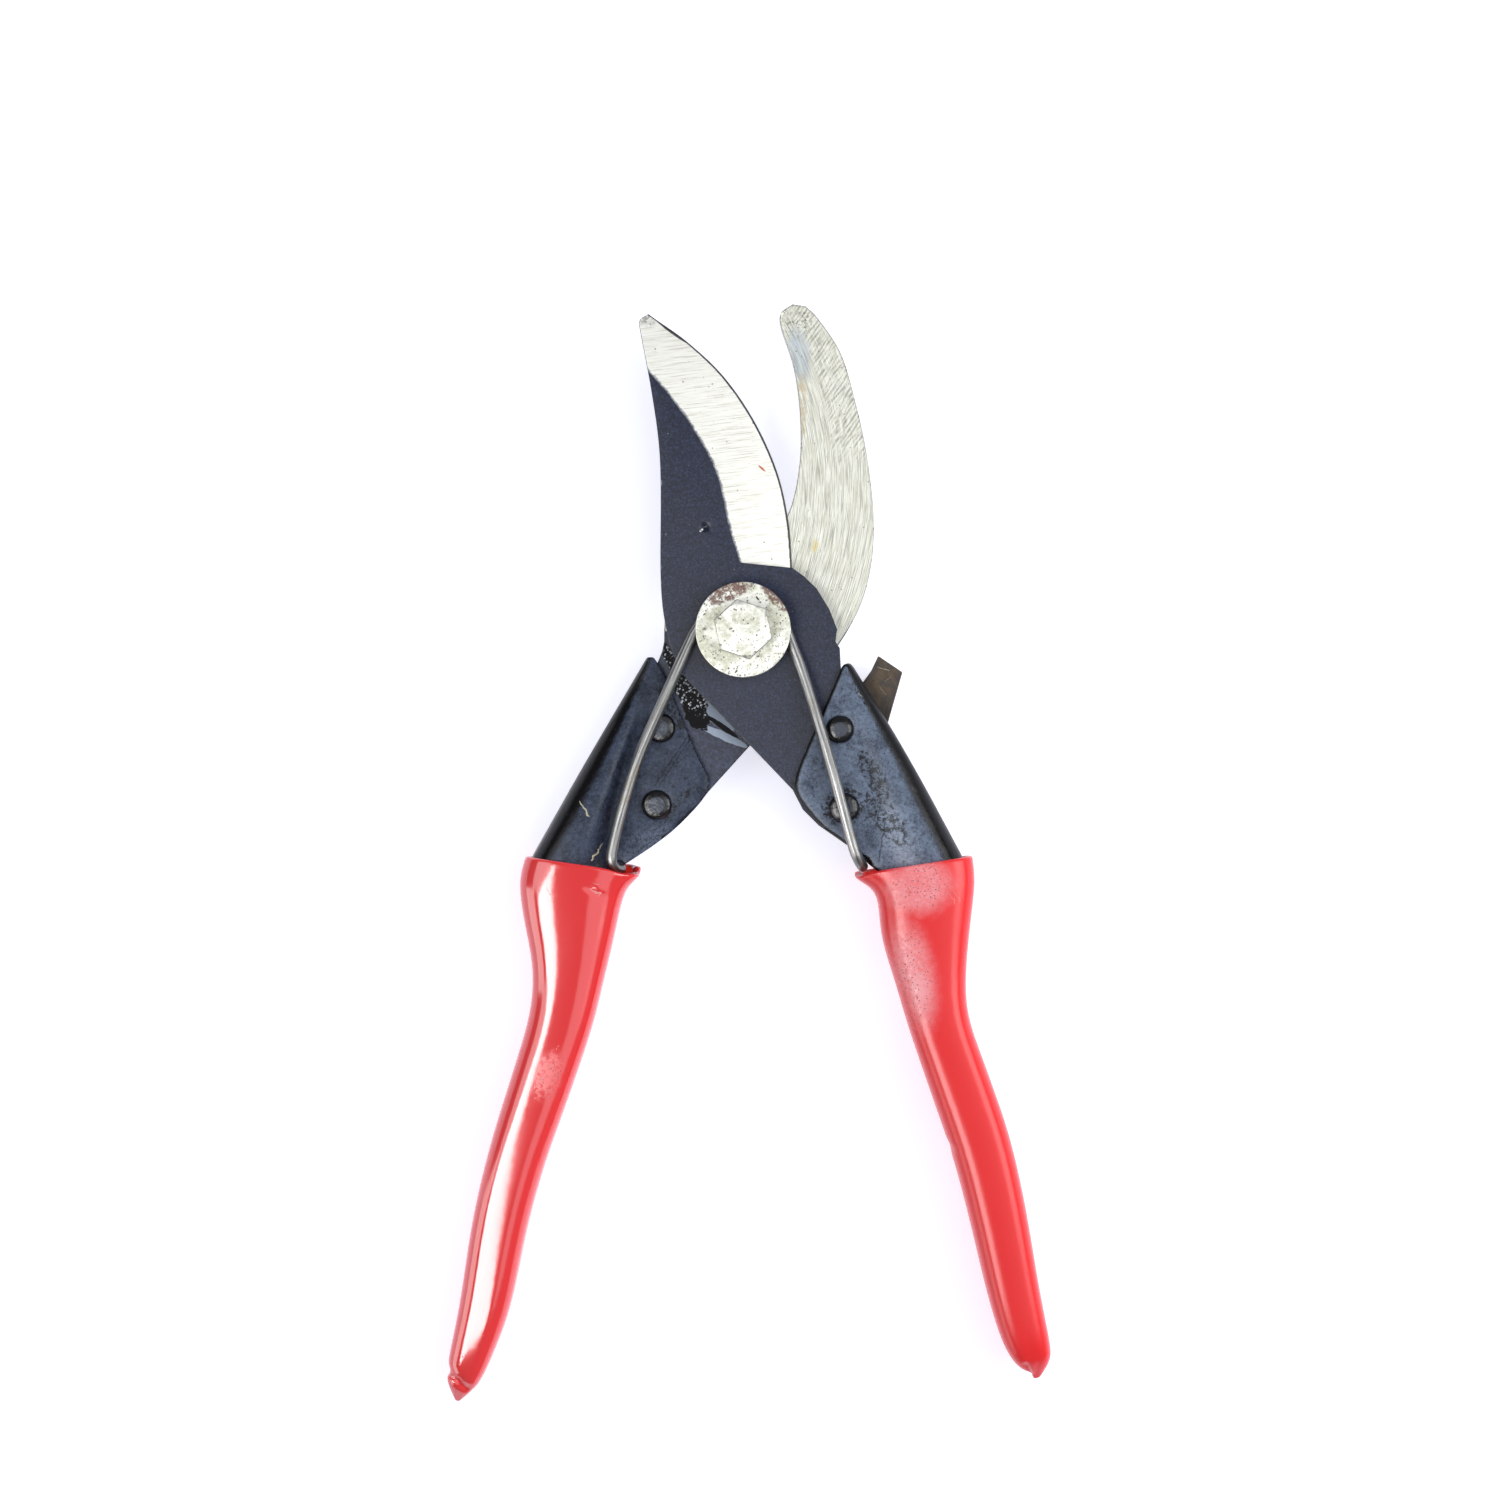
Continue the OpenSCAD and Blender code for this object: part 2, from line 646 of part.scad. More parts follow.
counter_blade();
left_handle();
left_grip();
left_rivet_upper();
left_rivet_lower();
pivot_bolt();
pivot_washer();
spring_collar();
back_washer();
pivot_nut();
hairpin_spring();
cutting_blade();
right_handle();
right_grip();
right_rivet_upper();
right_rivet_lower();
lock_lever();
lock_washer();
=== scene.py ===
"""Looks of the pruning shears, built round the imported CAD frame. Lengths in the code are
millimetres, turned to metres by MM, unless a comment says otherwise."""
import math

import bpy
import numpy as np
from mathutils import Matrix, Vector


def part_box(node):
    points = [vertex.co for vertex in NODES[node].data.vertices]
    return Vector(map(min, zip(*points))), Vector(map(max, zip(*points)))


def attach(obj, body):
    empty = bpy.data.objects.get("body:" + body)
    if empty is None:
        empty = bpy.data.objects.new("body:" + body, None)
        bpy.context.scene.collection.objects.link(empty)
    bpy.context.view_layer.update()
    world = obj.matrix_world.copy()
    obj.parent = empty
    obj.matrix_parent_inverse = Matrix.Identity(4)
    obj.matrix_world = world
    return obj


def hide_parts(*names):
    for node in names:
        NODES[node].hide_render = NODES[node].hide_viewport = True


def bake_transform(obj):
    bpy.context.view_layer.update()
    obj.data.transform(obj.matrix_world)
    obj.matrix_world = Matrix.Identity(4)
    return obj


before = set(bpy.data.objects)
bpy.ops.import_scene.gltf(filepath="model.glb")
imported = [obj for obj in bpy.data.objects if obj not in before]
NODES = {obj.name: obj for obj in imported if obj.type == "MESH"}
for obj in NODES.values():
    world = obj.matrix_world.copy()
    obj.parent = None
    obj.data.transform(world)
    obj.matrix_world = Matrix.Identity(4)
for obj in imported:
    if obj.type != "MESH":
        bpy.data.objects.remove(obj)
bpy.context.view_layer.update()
MM = 0.001


def low(node, axis):
    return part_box(node)[0][axis] / MM


def high(node, axis):
    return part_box(node)[1][axis] / MM


# Camera, light and floor ---------------------------------------------------------------

PHOTO_SPAN = 284.1  # width of what the photograph shows, in the blades' plane
CAMERA_HEIGHT = 900
BLADE_PLANE = 10
SENSOR = 36  # mm of sensor, as Blender counts it
FLOOR_GAP = 0.2


def make_camera():
    """Straight above the shears, as the photograph was taken."""
    data = bpy.data.cameras.new("camera")
    data.sensor_width = SENSOR
    data.lens = SENSOR * (CAMERA_HEIGHT - BLADE_PLANE) / PHOTO_SPAN
    data.clip_start = 0.01
    camera = bpy.data.objects.new("camera", data)
    camera.location = Vector((1.3, -22.7, CAMERA_HEIGHT)) * MM
    bpy.context.scene.collection.objects.link(camera)
    bpy.context.scene.camera = camera


def area_light(name, place, aim, size, radiance, colour=(1, 1, 1), turn=0, gleam=False):
    """A soft box. Its power is worked out from its size and how bright its face is. One
    that looks straight down can be turned, in degrees. A gleam only shows in reflections."""
    data = bpy.data.lights.new(name, "AREA")
    data.shape = "RECTANGLE"
    data.size, data.size_y = (s * MM for s in size)
    data.energy = radiance * math.pi * data.size * data.size_y
    data.color = colour
    light = bpy.data.objects.new(name, data)
    light.location = Vector(place) * MM
    light.rotation_euler = (Vector(aim) - Vector(place)).to_track_quat("-Z", "Y").to_euler()
    if turn:
        light.rotation_euler = (0, 0, math.radians(turn))
    light.visible_camera = False
    light.visible_diffuse = not gleam
    bpy.context.scene.collection.objects.link(light)


def make_studio():
    world = bpy.data.worlds.new("studio")
    world.use_nodes = True
    background = world.node_tree.nodes["Background"]
    background.inputs["Color"].default_value = (0.93, 0.95, 1.0, 1)
    background.inputs["Strength"].default_value = 0.33
    bpy.context.scene.world = world
    bpy.context.scene.view_settings.view_transform = "Standard"
    area_light("strip", (-188, -172, 400), (-188, -172, 0), (235, 255), 12, turn=23, gleam=True)
    area_light("edge", (-420, -355, 150), (-40, -355, 0), (600, 300), 3.2, gleam=True)
    area_light("key", (560, 30, 430), (20, -60, 0), (380, 420), 5.0)
    area_light("fill", (-430, 60, 560), (-20, -60, 0), (330, 420), 2.4)
    area_light("sky", (480, 40, 880), (20, -40, 0), (900, 900), 1.2, (0.93, 0.96, 1.0))

    bpy.ops.mesh.primitive_plane_add(size=4000 * MM, location=(0, 0, -FLOOR_GAP * MM))
    floor = bpy.context.object
    floor.name = "floor"
    floor.data.materials.append(floor_material())


# Material helpers ----------------------------------------------------------------------


def tone(*seen):
    """A colour as it is seen, 0 to 255, turned to what a shader takes."""
    parts = [s / 255 for s in seen]
    return tuple(p / 12.92 if p < 0.04 else ((p + 0.055) / 1.055) ** 2.4 for p in parts)


class Nodes:
    """Short calls that add and join shader nodes in one material."""

    def __init__(self, name):
        self.material = bpy.data.materials.new(name)
        self.material.use_nodes = True
        self.tree = self.material.node_tree
        self.shader = self.tree.nodes["Principled BSDF"]
        self.place = self.mapped((1000, 1000, 1000))

    def add(self, kind, **settings):
        node = self.tree.nodes.new(kind)
        for key, value in settings.items():
            setattr(node, key, value)
        return node

    def feed(self, socket, value):
        """Joins a socket, or sets its constant."""
        if isinstance(value, bpy.types.NodeSocket):
            self.tree.links.new(value, socket)
        elif isinstance(value, (tuple, list)) and socket.type == "RGBA":
            socket.default_value = (*value[:3], 1)
        else:
            socket.default_value = value

    def mapped(self, scale, turn=0.0, source=None):
        """Object coordinates in millimetres, turned about Z in degrees, then stretched."""
        if source is None:
            source = self.add("ShaderNodeTexCoord").outputs["Object"]
        node = self.add("ShaderNodeMapping")
        self.feed(node.inputs["Vector"], source)
        node.inputs["Rotation"].default_value = (0, 0, math.radians(turn))
        node.inputs["Scale"].default_value = scale
        return node.outputs["Vector"]

    def stretched(self, along, across, turn=0.0):
        """Millimetres with one scale along Y turned by an angle, and another across it."""
        turned = self.mapped((1, 1, 1), -turn, self.place)
        return self.mapped((across, along, across), 0, turned)

    def unrolled(self, along, around):
        """A lofted piece's own map: around it, and along it in millimetres."""
        source = self.add("ShaderNodeUVMap").outputs["UV"]
        return self.mapped((around, along, 1), 0, source)

    def circled(self, centre, across, along):
        """Coordinates that run round a centre in the plane: distance, then angle."""
        flat = self.add("ShaderNodeVectorMath", operation="MULTIPLY_ADD")
        self.feed(flat.inputs[0], self.place)
        flat.inputs[1].default_value = (1, 1, 0)
        flat.inputs[2].default_value = (-centre[0], -centre[1], 0)
        length = self.add("ShaderNodeVectorMath", operation="LENGTH")
        self.feed(length.inputs[0], flat.outputs[0])
        angle = self.math("ARCTAN2", self.axis("Y", flat.outputs[0]),
                          self.axis("X", flat.outputs[0]))
        joined = self.add("ShaderNodeCombineXYZ")
        self.feed(joined.inputs[0], self.math("MULTIPLY", length.outputs["Value"], across))
        self.feed(joined.inputs[1], self.math("MULTIPLY", angle, along))
        return joined.outputs[0]

    def axis(self, name, source=None):
        split = self.add("ShaderNodeSeparateXYZ")
        self.feed(split.inputs[0], source or self.place)
        return split.outputs[name]

    def near(self, centre, inner, outer):
        """1 within inner of a point in the plane, falling to 0 at outer."""
        return self.step(self.axis("X", self.circled(centre, 1, 0)), inner, outer, 1, 0)

    def noise(self, where, scale, detail=3.0, rough=0.55, warp=0.0):
        node = self.add("ShaderNodeTexNoise")
        self.feed(node.inputs["Vector"], where)
        for key, value in (("Scale", scale), ("Detail", detail), ("Roughness", rough),
                           ("Distortion", warp)):
            node.inputs[key].default_value = value
        return node.outputs["Fac"]

    def cells(self, where, scale):
        node = self.add("ShaderNodeTexVoronoi")
        self.feed(node.inputs["Vector"], where)
        node.inputs["Scale"].default_value = scale
        return node.outputs["Distance"]

    def dots(self, scale, size, share):
        """Scattered dots: cells of a pattern, kept where a slow noise is high."""
        dot = self.step(self.cells(self.place, scale), size, size * 0.6)
        kept = self.step(self.noise(self.place, scale * 0.43, 1), 1 - share, 1.04 - share)
        return self.times(dot, kept)

    def local(self, centre, turn, half=(1, 1)):
        """Coordinates in the plane from a centre, along a direction and across it."""
        moved = self.add("ShaderNodeVectorMath", operation="MULTIPLY_ADD")
        self.feed(moved.inputs[0], self.place)
        moved.inputs[1].default_value = (1, 1, 0)
        moved.inputs[2].default_value = (-centre[0], -centre[1], 0)
        turned = self.mapped((1, 1, 1), -turn, moved.outputs[0])
        return self.mapped((1 / half[0], 1 / half[1], 1), 0, turned)

    def blob(self, centre, turn, half, ragged=0.3, soft=0.06):
        """An oval patch in the plane with an uneven rim: 1 inside, 0 outside."""
        size = self.add("ShaderNodeVectorMath", operation="LENGTH")
        self.feed(size.inputs[0], self.local(centre, turn, half))
        rim = self.times(self.math("SUBTRACT", self.noise(self.place, 0.8, 3), 0.5), 2 * ragged)
        return self.step(self.math("ADD", size.outputs["Value"], rim), 1 - soft, 1 + soft, 1, 0)

    def scratch(self, start, end, width, bend=0.35):
        """A thin broken line between two points in the plane: 1 on the line."""
        run = Vector(end) - Vector(start)
        own = self.local(start, math.degrees(math.atan2(run.y, run.x)))
        wobble = self.times(self.math("SUBTRACT", self.noise(own, 0.8, 2), 0.5), 6 * bend)
        away = self.math("ABSOLUTE", self.math("SUBTRACT", self.axis("Y", own), wobble))
        ahead = self.step(self.axis("X", own), -0.2, 0.2)
        behind = self.step(self.axis("X", own), run.length - 0.4, run.length, 1, 0)
        broken = self.step(self.noise(own, 2.1, 2), 0.34, 0.48)
        return self.times(self.step(away, width * 0.4, width, 1, 0), broken, ahead, behind)

    def math(self, operation, a, b=0.0):
        node = self.add("ShaderNodeMath", operation=operation)
        self.feed(node.inputs[0], a)
        self.feed(node.inputs[1], b)
        return node.outputs[0]

    def most(self, *values):
        result = values[0]
        for value in values[1:]:
            result = self.math("MAXIMUM", result, value)
        return result

    def times(self, *values):
        result = values[0]
        for value in values[1:]:
            result = self.math("MULTIPLY", result, value)
        return result

    def step(self, value, start, end, bottom=0.0, top=1.0):
        """Smooth change from bottom to top as value goes from start to end."""
        node = self.add("ShaderNodeMapRange", interpolation_type="SMOOTHSTEP")
        self.feed(node.inputs["Value"], value)
        for key, number in (("From Min", start), ("From Max", end), ("To Min", bottom),
                            ("To Max", top)):
            node.inputs[key].default_value = number
        return node.outputs["Result"]

    def mix(self, share, a, b):
        node = self.add("ShaderNodeMix", data_type="RGBA")
        self.feed(node.inputs[0], share)
        self.feed(node.inputs[6], a)
        self.feed(node.inputs[7], b)
        return node.outputs[2]

    def bump(self, height, distance, under=None):
        """Relief, with the height of a full step in millimetres."""
        node = self.add("ShaderNodeBump")
        self.feed(node.inputs["Height"], height)
        node.inputs["Strength"].default_value = 1
        node.inputs["Distance"].default_value = distance * MM
        if under is not None:
            self.feed(node.inputs["Normal"], under)
        return node.outputs["Normal"]

    def facing_up(self):
        """How far the surface faces up, from -1 to 1."""
        return self.axis("Z", self.add("ShaderNodeNewGeometry").outputs["True Normal"])

    def leaning(self, x, y):
        """How far the surface faces a direction in the plane."""
        dot = self.add("ShaderNodeVectorMath", operation="DOT_PRODUCT")
        self.feed(dot.inputs[0], self.add("ShaderNodeNewGeometry").outputs["True Normal"])
        dot.inputs[1].default_value = (x, y, 0)
        return dot.outputs["Value"]

    def done(self, **sockets):
        for key, value in sockets.items():
            self.feed(self.shader.inputs[key.replace("_", " ")], value)
        return self.material


# Materials -----------------------------------------------------------------------------


def floor_material():
    n = Nodes("pale_floor")
    grain = n.noise(n.place, 0.02, 2)
    return n.done(Base_Color=n.mix(grain, (0.64, 0.68, 0.78), (0.68, 0.71, 0.81)),
                  Roughness=0.85, Emission_Color=(0.94, 0.93, 1.0, 1), Emission_Strength=0.68)


def black_blade():
    """Satin blue-black coating with a fine mottled grain, small pale knocks and one small painted
    highlight.
    """
    n = Nodes("black_blade")
    cloud = n.noise(n.place, 0.16, 4, 0.6)
    grain = n.noise(n.place, 2.3, 4, 0.85)
    base = n.mix(cloud, tone(13, 21, 46), tone(22, 31, 60))
    base = n.mix(n.step(grain, 0.50, 0.64, 0, 0.8), base, tone(48, 61, 92))
    base = n.mix(n.step(grain, 0.47, 0.39, 0, 0.95), base, tone(4, 5, 14))
    knocks = n.most(n.dots(0.85, 0.13, 0.40), n.blob((-15.5, 27.8), 90, (0.6, 0.16)),
                    n.blob((-15.6, 11.8), 90, (0.7, 0.14)))
    base = n.mix(n.times(knocks, 0.7), base, tone(150, 154, 160))
    dirt = n.dots(1.3, 0.2, 0.46)
    base = n.mix(dirt, base, tone(5, 5, 8))
    # painted highlight: a small near-white oval put into the coating's colour
    painted_glint = n.blob((-7.9, 18.9), 40, (0.42, 0.22), 0.1)
    base = n.mix(painted_glint, base, tone(225, 225, 225))
    relief = n.bump(grain, 0.06)
    relief = n.bump(n.math("ADD", knocks, n.noise(n.place, 0.7, 2)), 0.03, relief)
    return n.done(Base_Color=base, Roughness=n.step(grain, 0.3, 0.75, 0.32, 0.5),
                  Specular_IOR_Level=0.36, Normal=relief)


def blade_rim():
    """The blade's narrow edges: bright-grey honed along the cut, black with pale knocks
    along the back."""
    n = Nodes("blade_rim")
    across = n.math("ADD", n.axis("X"), n.times(n.axis("Y"), 0.45))
    honed = n.times(n.step(across, 7.4, 8.2), n.step(n.axis("Y"), 10.5, 11.5))
    knocks = n.dots(0.5, 0.30, 0.38)
    base = n.mix(n.times(knocks, 0.9), tone(9, 9, 14), tone(214, 214, 216))
    base = n.mix(honed, base, n.mix(n.noise(n.place, 1.2, 3), tone(30, 30, 32), tone(74, 74, 76)))
    return n.done(Base_Color=base, Roughness=n.step(n.noise(n.place, 2.0, 3), 0.3, 0.7, 0.2, 0.4),
                  Normal=n.bump(knocks, 0.05))


def bevel_steel():
    """Cream ground steel: grinding lines run from the black face down to the edge."""
    n = Nodes("bevel_steel")
    top = high("cutting_blade", 2)
    fall = n.math("DIVIDE", n.math("SUBTRACT", top, n.axis("Z")),
                  top - low("cutting_blade", 2))
    lines = n.noise(n.stretched(4.2, 0.13, 8), 1.0, 3, 0.65)
    fine = n.noise(n.stretched(9.0, 0.3, 6), 1.0, 2, 0.6)
    base = n.mix(n.step(lines, 0.35, 0.6), tone(236, 234, 222), tone(249, 249, 241))
    base = n.mix(n.step(lines, 0.45, 0.34, 0, 0.65), base, tone(190, 186, 172))
    base = n.mix(n.step(fine, 0.46, 0.34, 0, 0.5), base, tone(214, 211, 200))
    pits = n.most(n.dots(0.6, 0.12, 0.50), n.blob((1.3, 44.2), -70, (0.55, 0.16), 0.1),
                  n.dots(1.3, 0.11, 0.42))
    base = n.mix(n.times(pits, 0.85), base, tone(104, 98, 92))
    blunt = n.times(n.near((-18.0, 59.4), 0.6, 2.4), n.step(n.noise(n.place, 1.8, 3), 0.44, 0.52))
    base = n.mix(n.times(blunt, 0.7), base, tone(130, 130, 130))
    base = n.mix(n.blob((3.6, 30.7), -42, (0.9, 0.18), 0.5, 0.2), base, tone(176, 92, 56))
    ragged = n.times(n.math("SUBTRACT", n.noise(n.place, 0.9, 5, 0.75), 0.46), 0.11)
    inside = n.math("SUBTRACT", fall, ragged)
    paint = n.step(inside, -0.008, 0.008, 1, 0)
    base = n.mix(n.step(inside, 0.01, 0.045, 1, 0), base, tone(128, 130, 138))
    honed = n.blob((-13.3, 56.8), -36, (4.4, 0.55), 0.1)
    base = n.mix(honed, base, n.mix(n.noise(n.place, 1.4, 3), tone(40, 40, 42), tone(92, 92, 94)))
    edge = n.step(n.math("ADD", fall, n.times(n.noise(n.place, 0.5, 2), 0.012)), 0.902, 0.912)
    base = n.mix(edge, base, n.mix(n.noise(n.place, 1.2, 3), tone(14, 14, 16), tone(52, 52, 54)))
    base = n.mix(paint, base, tone(36, 43, 60))
    relief = n.bump(lines, 0.02)
    relief = n.bump(fine, 0.008, relief)
    relief = n.bump(n.math("SUBTRACT", n.times(paint, 2.0), pits), 0.03, relief)
    return n.done(Base_Color=base, Metallic=n.step(paint, 0.2, 0.8, 0.2, 0.0),
                  Roughness=n.step(fine, 0.3, 0.7, 0.34, 0.5), Normal=relief)


def oily_tang(n):
    """Colour, roughness and relief of the coated tang: black with dried oil, crusted near
    the pivot, and an oily patch beside the cutting blade whose pale blue-grey is a painted
    reflection."""
    grit = n.noise(n.place, 0.9, 3, 0.7)
    where = n.most(n.blob((-10.2, -11.9), -57, (5.2, 2.2)), n.blob((-14.2, -4.8), -62, (5.0, 0.9)))
    crust = n.times(where, n.dots(1.7, 0.42, 0.72), n.step(grit, 0.40, 0.46))
    black = n.most(n.blob((-8.9, -16.0), -56, (3.2, 2.0), 0.5), where)
    film_and_sheen = n.most(n.blob((-5.0, -16.3), -41, (4.3, 1.5), 0.15),
                  n.blob((-3.8, -20.0), -25, (5.2, 0.75), 0.3))
    split = n.blob((-3.9, -18.3), -35, (3.6, 0.52), 0.15)
    grain = n.noise(n.place, 1.8, 4, 0.8)
    base = n.mix(n.step(grain, 0.42, 0.62), tone(18, 23, 46), tone(54, 65, 94))
    # painted reflection: the oily patch's pale blue-grey stands for the light it reflects
    base = n.mix(n.times(film_and_sheen, 0.9), base, n.mix(grain, tone(156, 172, 194), tone(200, 210, 222)))
    base = n.mix(n.most(black, split), base, tone(4, 3, 4))
    base = n.mix(crust, base, tone(192, 198, 206))
    wet = n.most(black, film_and_sheen, split)
    return base, n.step(wet, 0, 1, 0.36, 0.12), n.math("ADD", crust, n.times(grain, 0.4))


def ground_steel():
    """Counter-blade: brushed along its curve, ground across at its outer tip, coated black
    below the pivot."""
    n = Nodes("ground_steel")
    centre = (-45, 28)
    height = n.math("ADD", n.axis("Y"), n.times(n.axis("X"), 0.45))
    bare = n.step(n.math("ADD", height, n.times(n.noise(n.place, 0.9, 3), 1.2)), -6.3, -5.7)
    wide = n.noise(n.circled(centre, 1.3, 6), 1.0, 3, 0.6, 0.2)
    brushed = n.noise(n.circled(centre, 6.2, 9), 1.0, 3, 0.62, 0.08)
    hairs = n.noise(n.circled(centre, 8.0, 15), 1.0, 2, 0.6)
    rub = n.stretched(0.16, 1.0, -35)
    slant = n.math("SINE", n.math("ADD", n.times(n.axis("X", rub), 9.0),
                                  n.times(n.noise(rub, 1.1, 2), 6.0)))
    slant = n.math("ADD", n.times(slant, 0.07), n.noise(rub, 2.4, 3, 0.6))
    outward = n.axis("X", n.circled(centre, 1.0, 0.0))
    rim = n.math("ADD", outward, n.times(n.noise(n.place, 0.25, 2), 3.0))
    outer = n.times(n.step(n.axis("Y"), 30, 38), n.step(rim, 63.0, 65.0))
    streak = n.mix(n.times(outer, 0.85), brushed, slant)
    base = n.mix(n.step(streak, 0.40, 0.58), tone(186, 185, 172), tone(236, 236, 222))
    base = n.mix(n.step(wide, 0.42, 0.60, 0, 0.4), base, tone(204, 200, 178))
    base = n.mix(n.step(hairs, 0.52, 0.62, 0, 0.75), base, tone(250, 250, 242))
    base = n.mix(n.step(streak, 0.45, 0.36, 0, 0.5), base, tone(150, 150, 142))
    stain = n.step(n.noise(n.place, 0.35, 3), 0.38, 0.60)
    yellow = n.times(n.blob((10.9, 41.5), 88, (8.5, 1.0), 0.5, 0.3), stain)
    base = n.mix(n.times(yellow, 0.5), base, tone(186, 156, 96))
    drop = n.times(n.blob((13.6, 16.1), 80, (1.3, 0.5), 0.9, 0.4), n.step(hairs, 0.4, 0.55))
    base = n.mix(n.times(drop, 0.8), base, tone(220, 196, 96))
    blue = n.times(n.blob((10.6, 52.6), 100, (5.0, 2.0), 0.4, 0.4), n.step(hairs, 0.38, 0.56))
    base = n.mix(n.times(blue, 0.55), base, tone(150, 172, 200))
    tip = n.times(n.near((10.4, 58.6), 1.0, 4.6), n.step(n.noise(n.place, 1.7, 3, 0.75), 0.52, 0.62))
    base = n.mix(n.times(tip, 0.8), base, tone(92, 84, 64))
    specks = n.most(n.dots(0.7, 0.12, 0.48), n.dots(1.6, 0.13, 0.42))
    base = n.mix(n.times(specks, 0.75), base, tone(82, 76, 66))
    wall = n.step(n.math("ABSOLUTE", n.facing_up()), 0.6, 0.3)
    rough_wall = n.noise(n.place, 1.4, 4, 0.7)
    base = n.mix(wall, base, n.mix(rough_wall, tone(138, 136, 126), tone(206, 204, 192)))
    streak = n.mix(wall, streak, rough_wall)
    tang, tang_rough, tang_relief = oily_tang(n)
    base = n.mix(bare, tang, base)
    relief = n.bump(n.mix(bare, tang_relief, streak), 0.022)
    relief = n.bump(n.times(bare, hairs, n.math("SUBTRACT", 1.0, wall)), 0.008, relief)
    rough = n.mix(bare, tang_rough, n.step(hairs, 0.3, 0.7, 0.28, 0.42))
    return n.done(Base_Color=base, Metallic=n.step(bare, 0.2, 0.8, 0, 0.5), Roughness=rough,
                  Normal=relief)


def hook_rim():
    """The counter-blade's edges: bare steel with dark specks, black below the pivot."""
    n = Nodes("hook_rim")
    specks = n.dots(1.5, 0.34, 0.56)
    bare = n.step(n.axis("Y"), 0, 1.5)
    base = n.mix(n.noise(n.place, 1.4, 3), tone(112, 110, 100), tone(196, 194, 182))
    base = n.mix(specks, base, tone(58, 50, 38))
    base = n.mix(bare, tone(9, 9, 13), base)
    return n.done(Base_Color=base, Metallic=n.step(bare, 0, 1, 0, 0.5), Roughness=0.36,
                  Normal=n.bump(specks, -0.04))


def handle_enamel(name, haze_and_sheen, outward, flat, chips, scratches, grime, worn):
    """Glossy black enamel with a dull bluish bloom on its upward faces, chips, fine scratches,
    grime and specks. The colour given is the bloom's, and is partly painted sheen: it is paler on
    the right handle, whose flats catch more light. worn is a paler oval in the bloom. The outer
    side and the edges below the flat are painted black as painted shade."""
    n = Nodes(name)
    bloom = n.noise(n.place, 0.30, 4, 0.65)
    grain = n.noise(n.place, 1.7, 5, 0.85)
    # painted shade: the outward-leaning side and the edges below the flat are picked out to be
    # painted black
    flank_shade = n.step(n.leaning(*outward), 0.10, 0.42)
    edge = n.times(n.step(n.facing_up(), 0.985, 0.90), n.step(n.axis("Z"), flat - 0.02, flat - 0.15))
    black = n.most(flank_shade, edge)
    # the bloom on upward faces is real haze and also painted sheen, paler where more light falls
    film_and_sheen = n.times(n.step(bloom, 0.30, 0.62, 0.45, 1.0), n.step(n.facing_up(), 0.30, 0.90),
                   n.math("SUBTRACT", 1.0, black))
    base = n.mix(film_and_sheen, tone(7, 8, 12), tone(*haze_and_sheen))
    base = n.mix(n.times(n.step(grain, 0.50, 0.62), film_and_sheen, 0.85), base, tone(*(h + 20 for h in haze_and_sheen)))
    base = n.mix(n.times(n.step(grain, 0.46, 0.38), 0.6), base, tone(7, 8, 12))
    pale = n.times(n.blob(*worn), film_and_sheen, n.step(grain, 0.36, 0.56))
    base = n.mix(n.times(pale, 0.8), base, tone(*(h + 46 for h in haze_and_sheen)))
    # painted shade: near-black over the outward side and the edges below the flat
    base = n.mix(n.times(black, 0.8), base, tone(4, 4, 7))
    dirt = n.most(*(n.blob(*patch) for patch in grime))
    dirt = n.times(dirt, n.step(n.noise(n.place, 1.1, 4, 0.8), 0.47, 0.55))
    specks = n.most(n.dots(1.0, 0.16, 0.46), dirt)
    base = n.mix(n.times(specks, 0.9), base, tone(6, 6, 7))
    base = n.mix(n.times(n.dots(0.8, 0.09, 0.38), 0.6), base, tone(150, 152, 154))
    marks = n.most(*(n.scratch(*line) for line in scratches))
    base = n.mix(n.times(marks, 0.75), base, tone(10, 10, 12))
    bare = n.most(*(n.scratch(*line) for line in chips))
    base = n.mix(bare, base, tone(205, 198, 164))
    relief = n.bump(n.noise(n.place, 0.25, 2), 0.10)
    relief = n.bump(grain, 0.03, relief)
    relief = n.bump(n.math("SUBTRACT", n.times(specks, 0.5), n.most(marks, bare)), 0.03, relief)
    rough = n.step(n.math("ADD", n.most(film_and_sheen, edge), n.times(grain, 0.4)), 0.1, 1.3, 0.15, 0.38)
    return n.done(Base_Color=base, Roughness=rough, Specular_IOR_Level=0.2, Normal=relief)


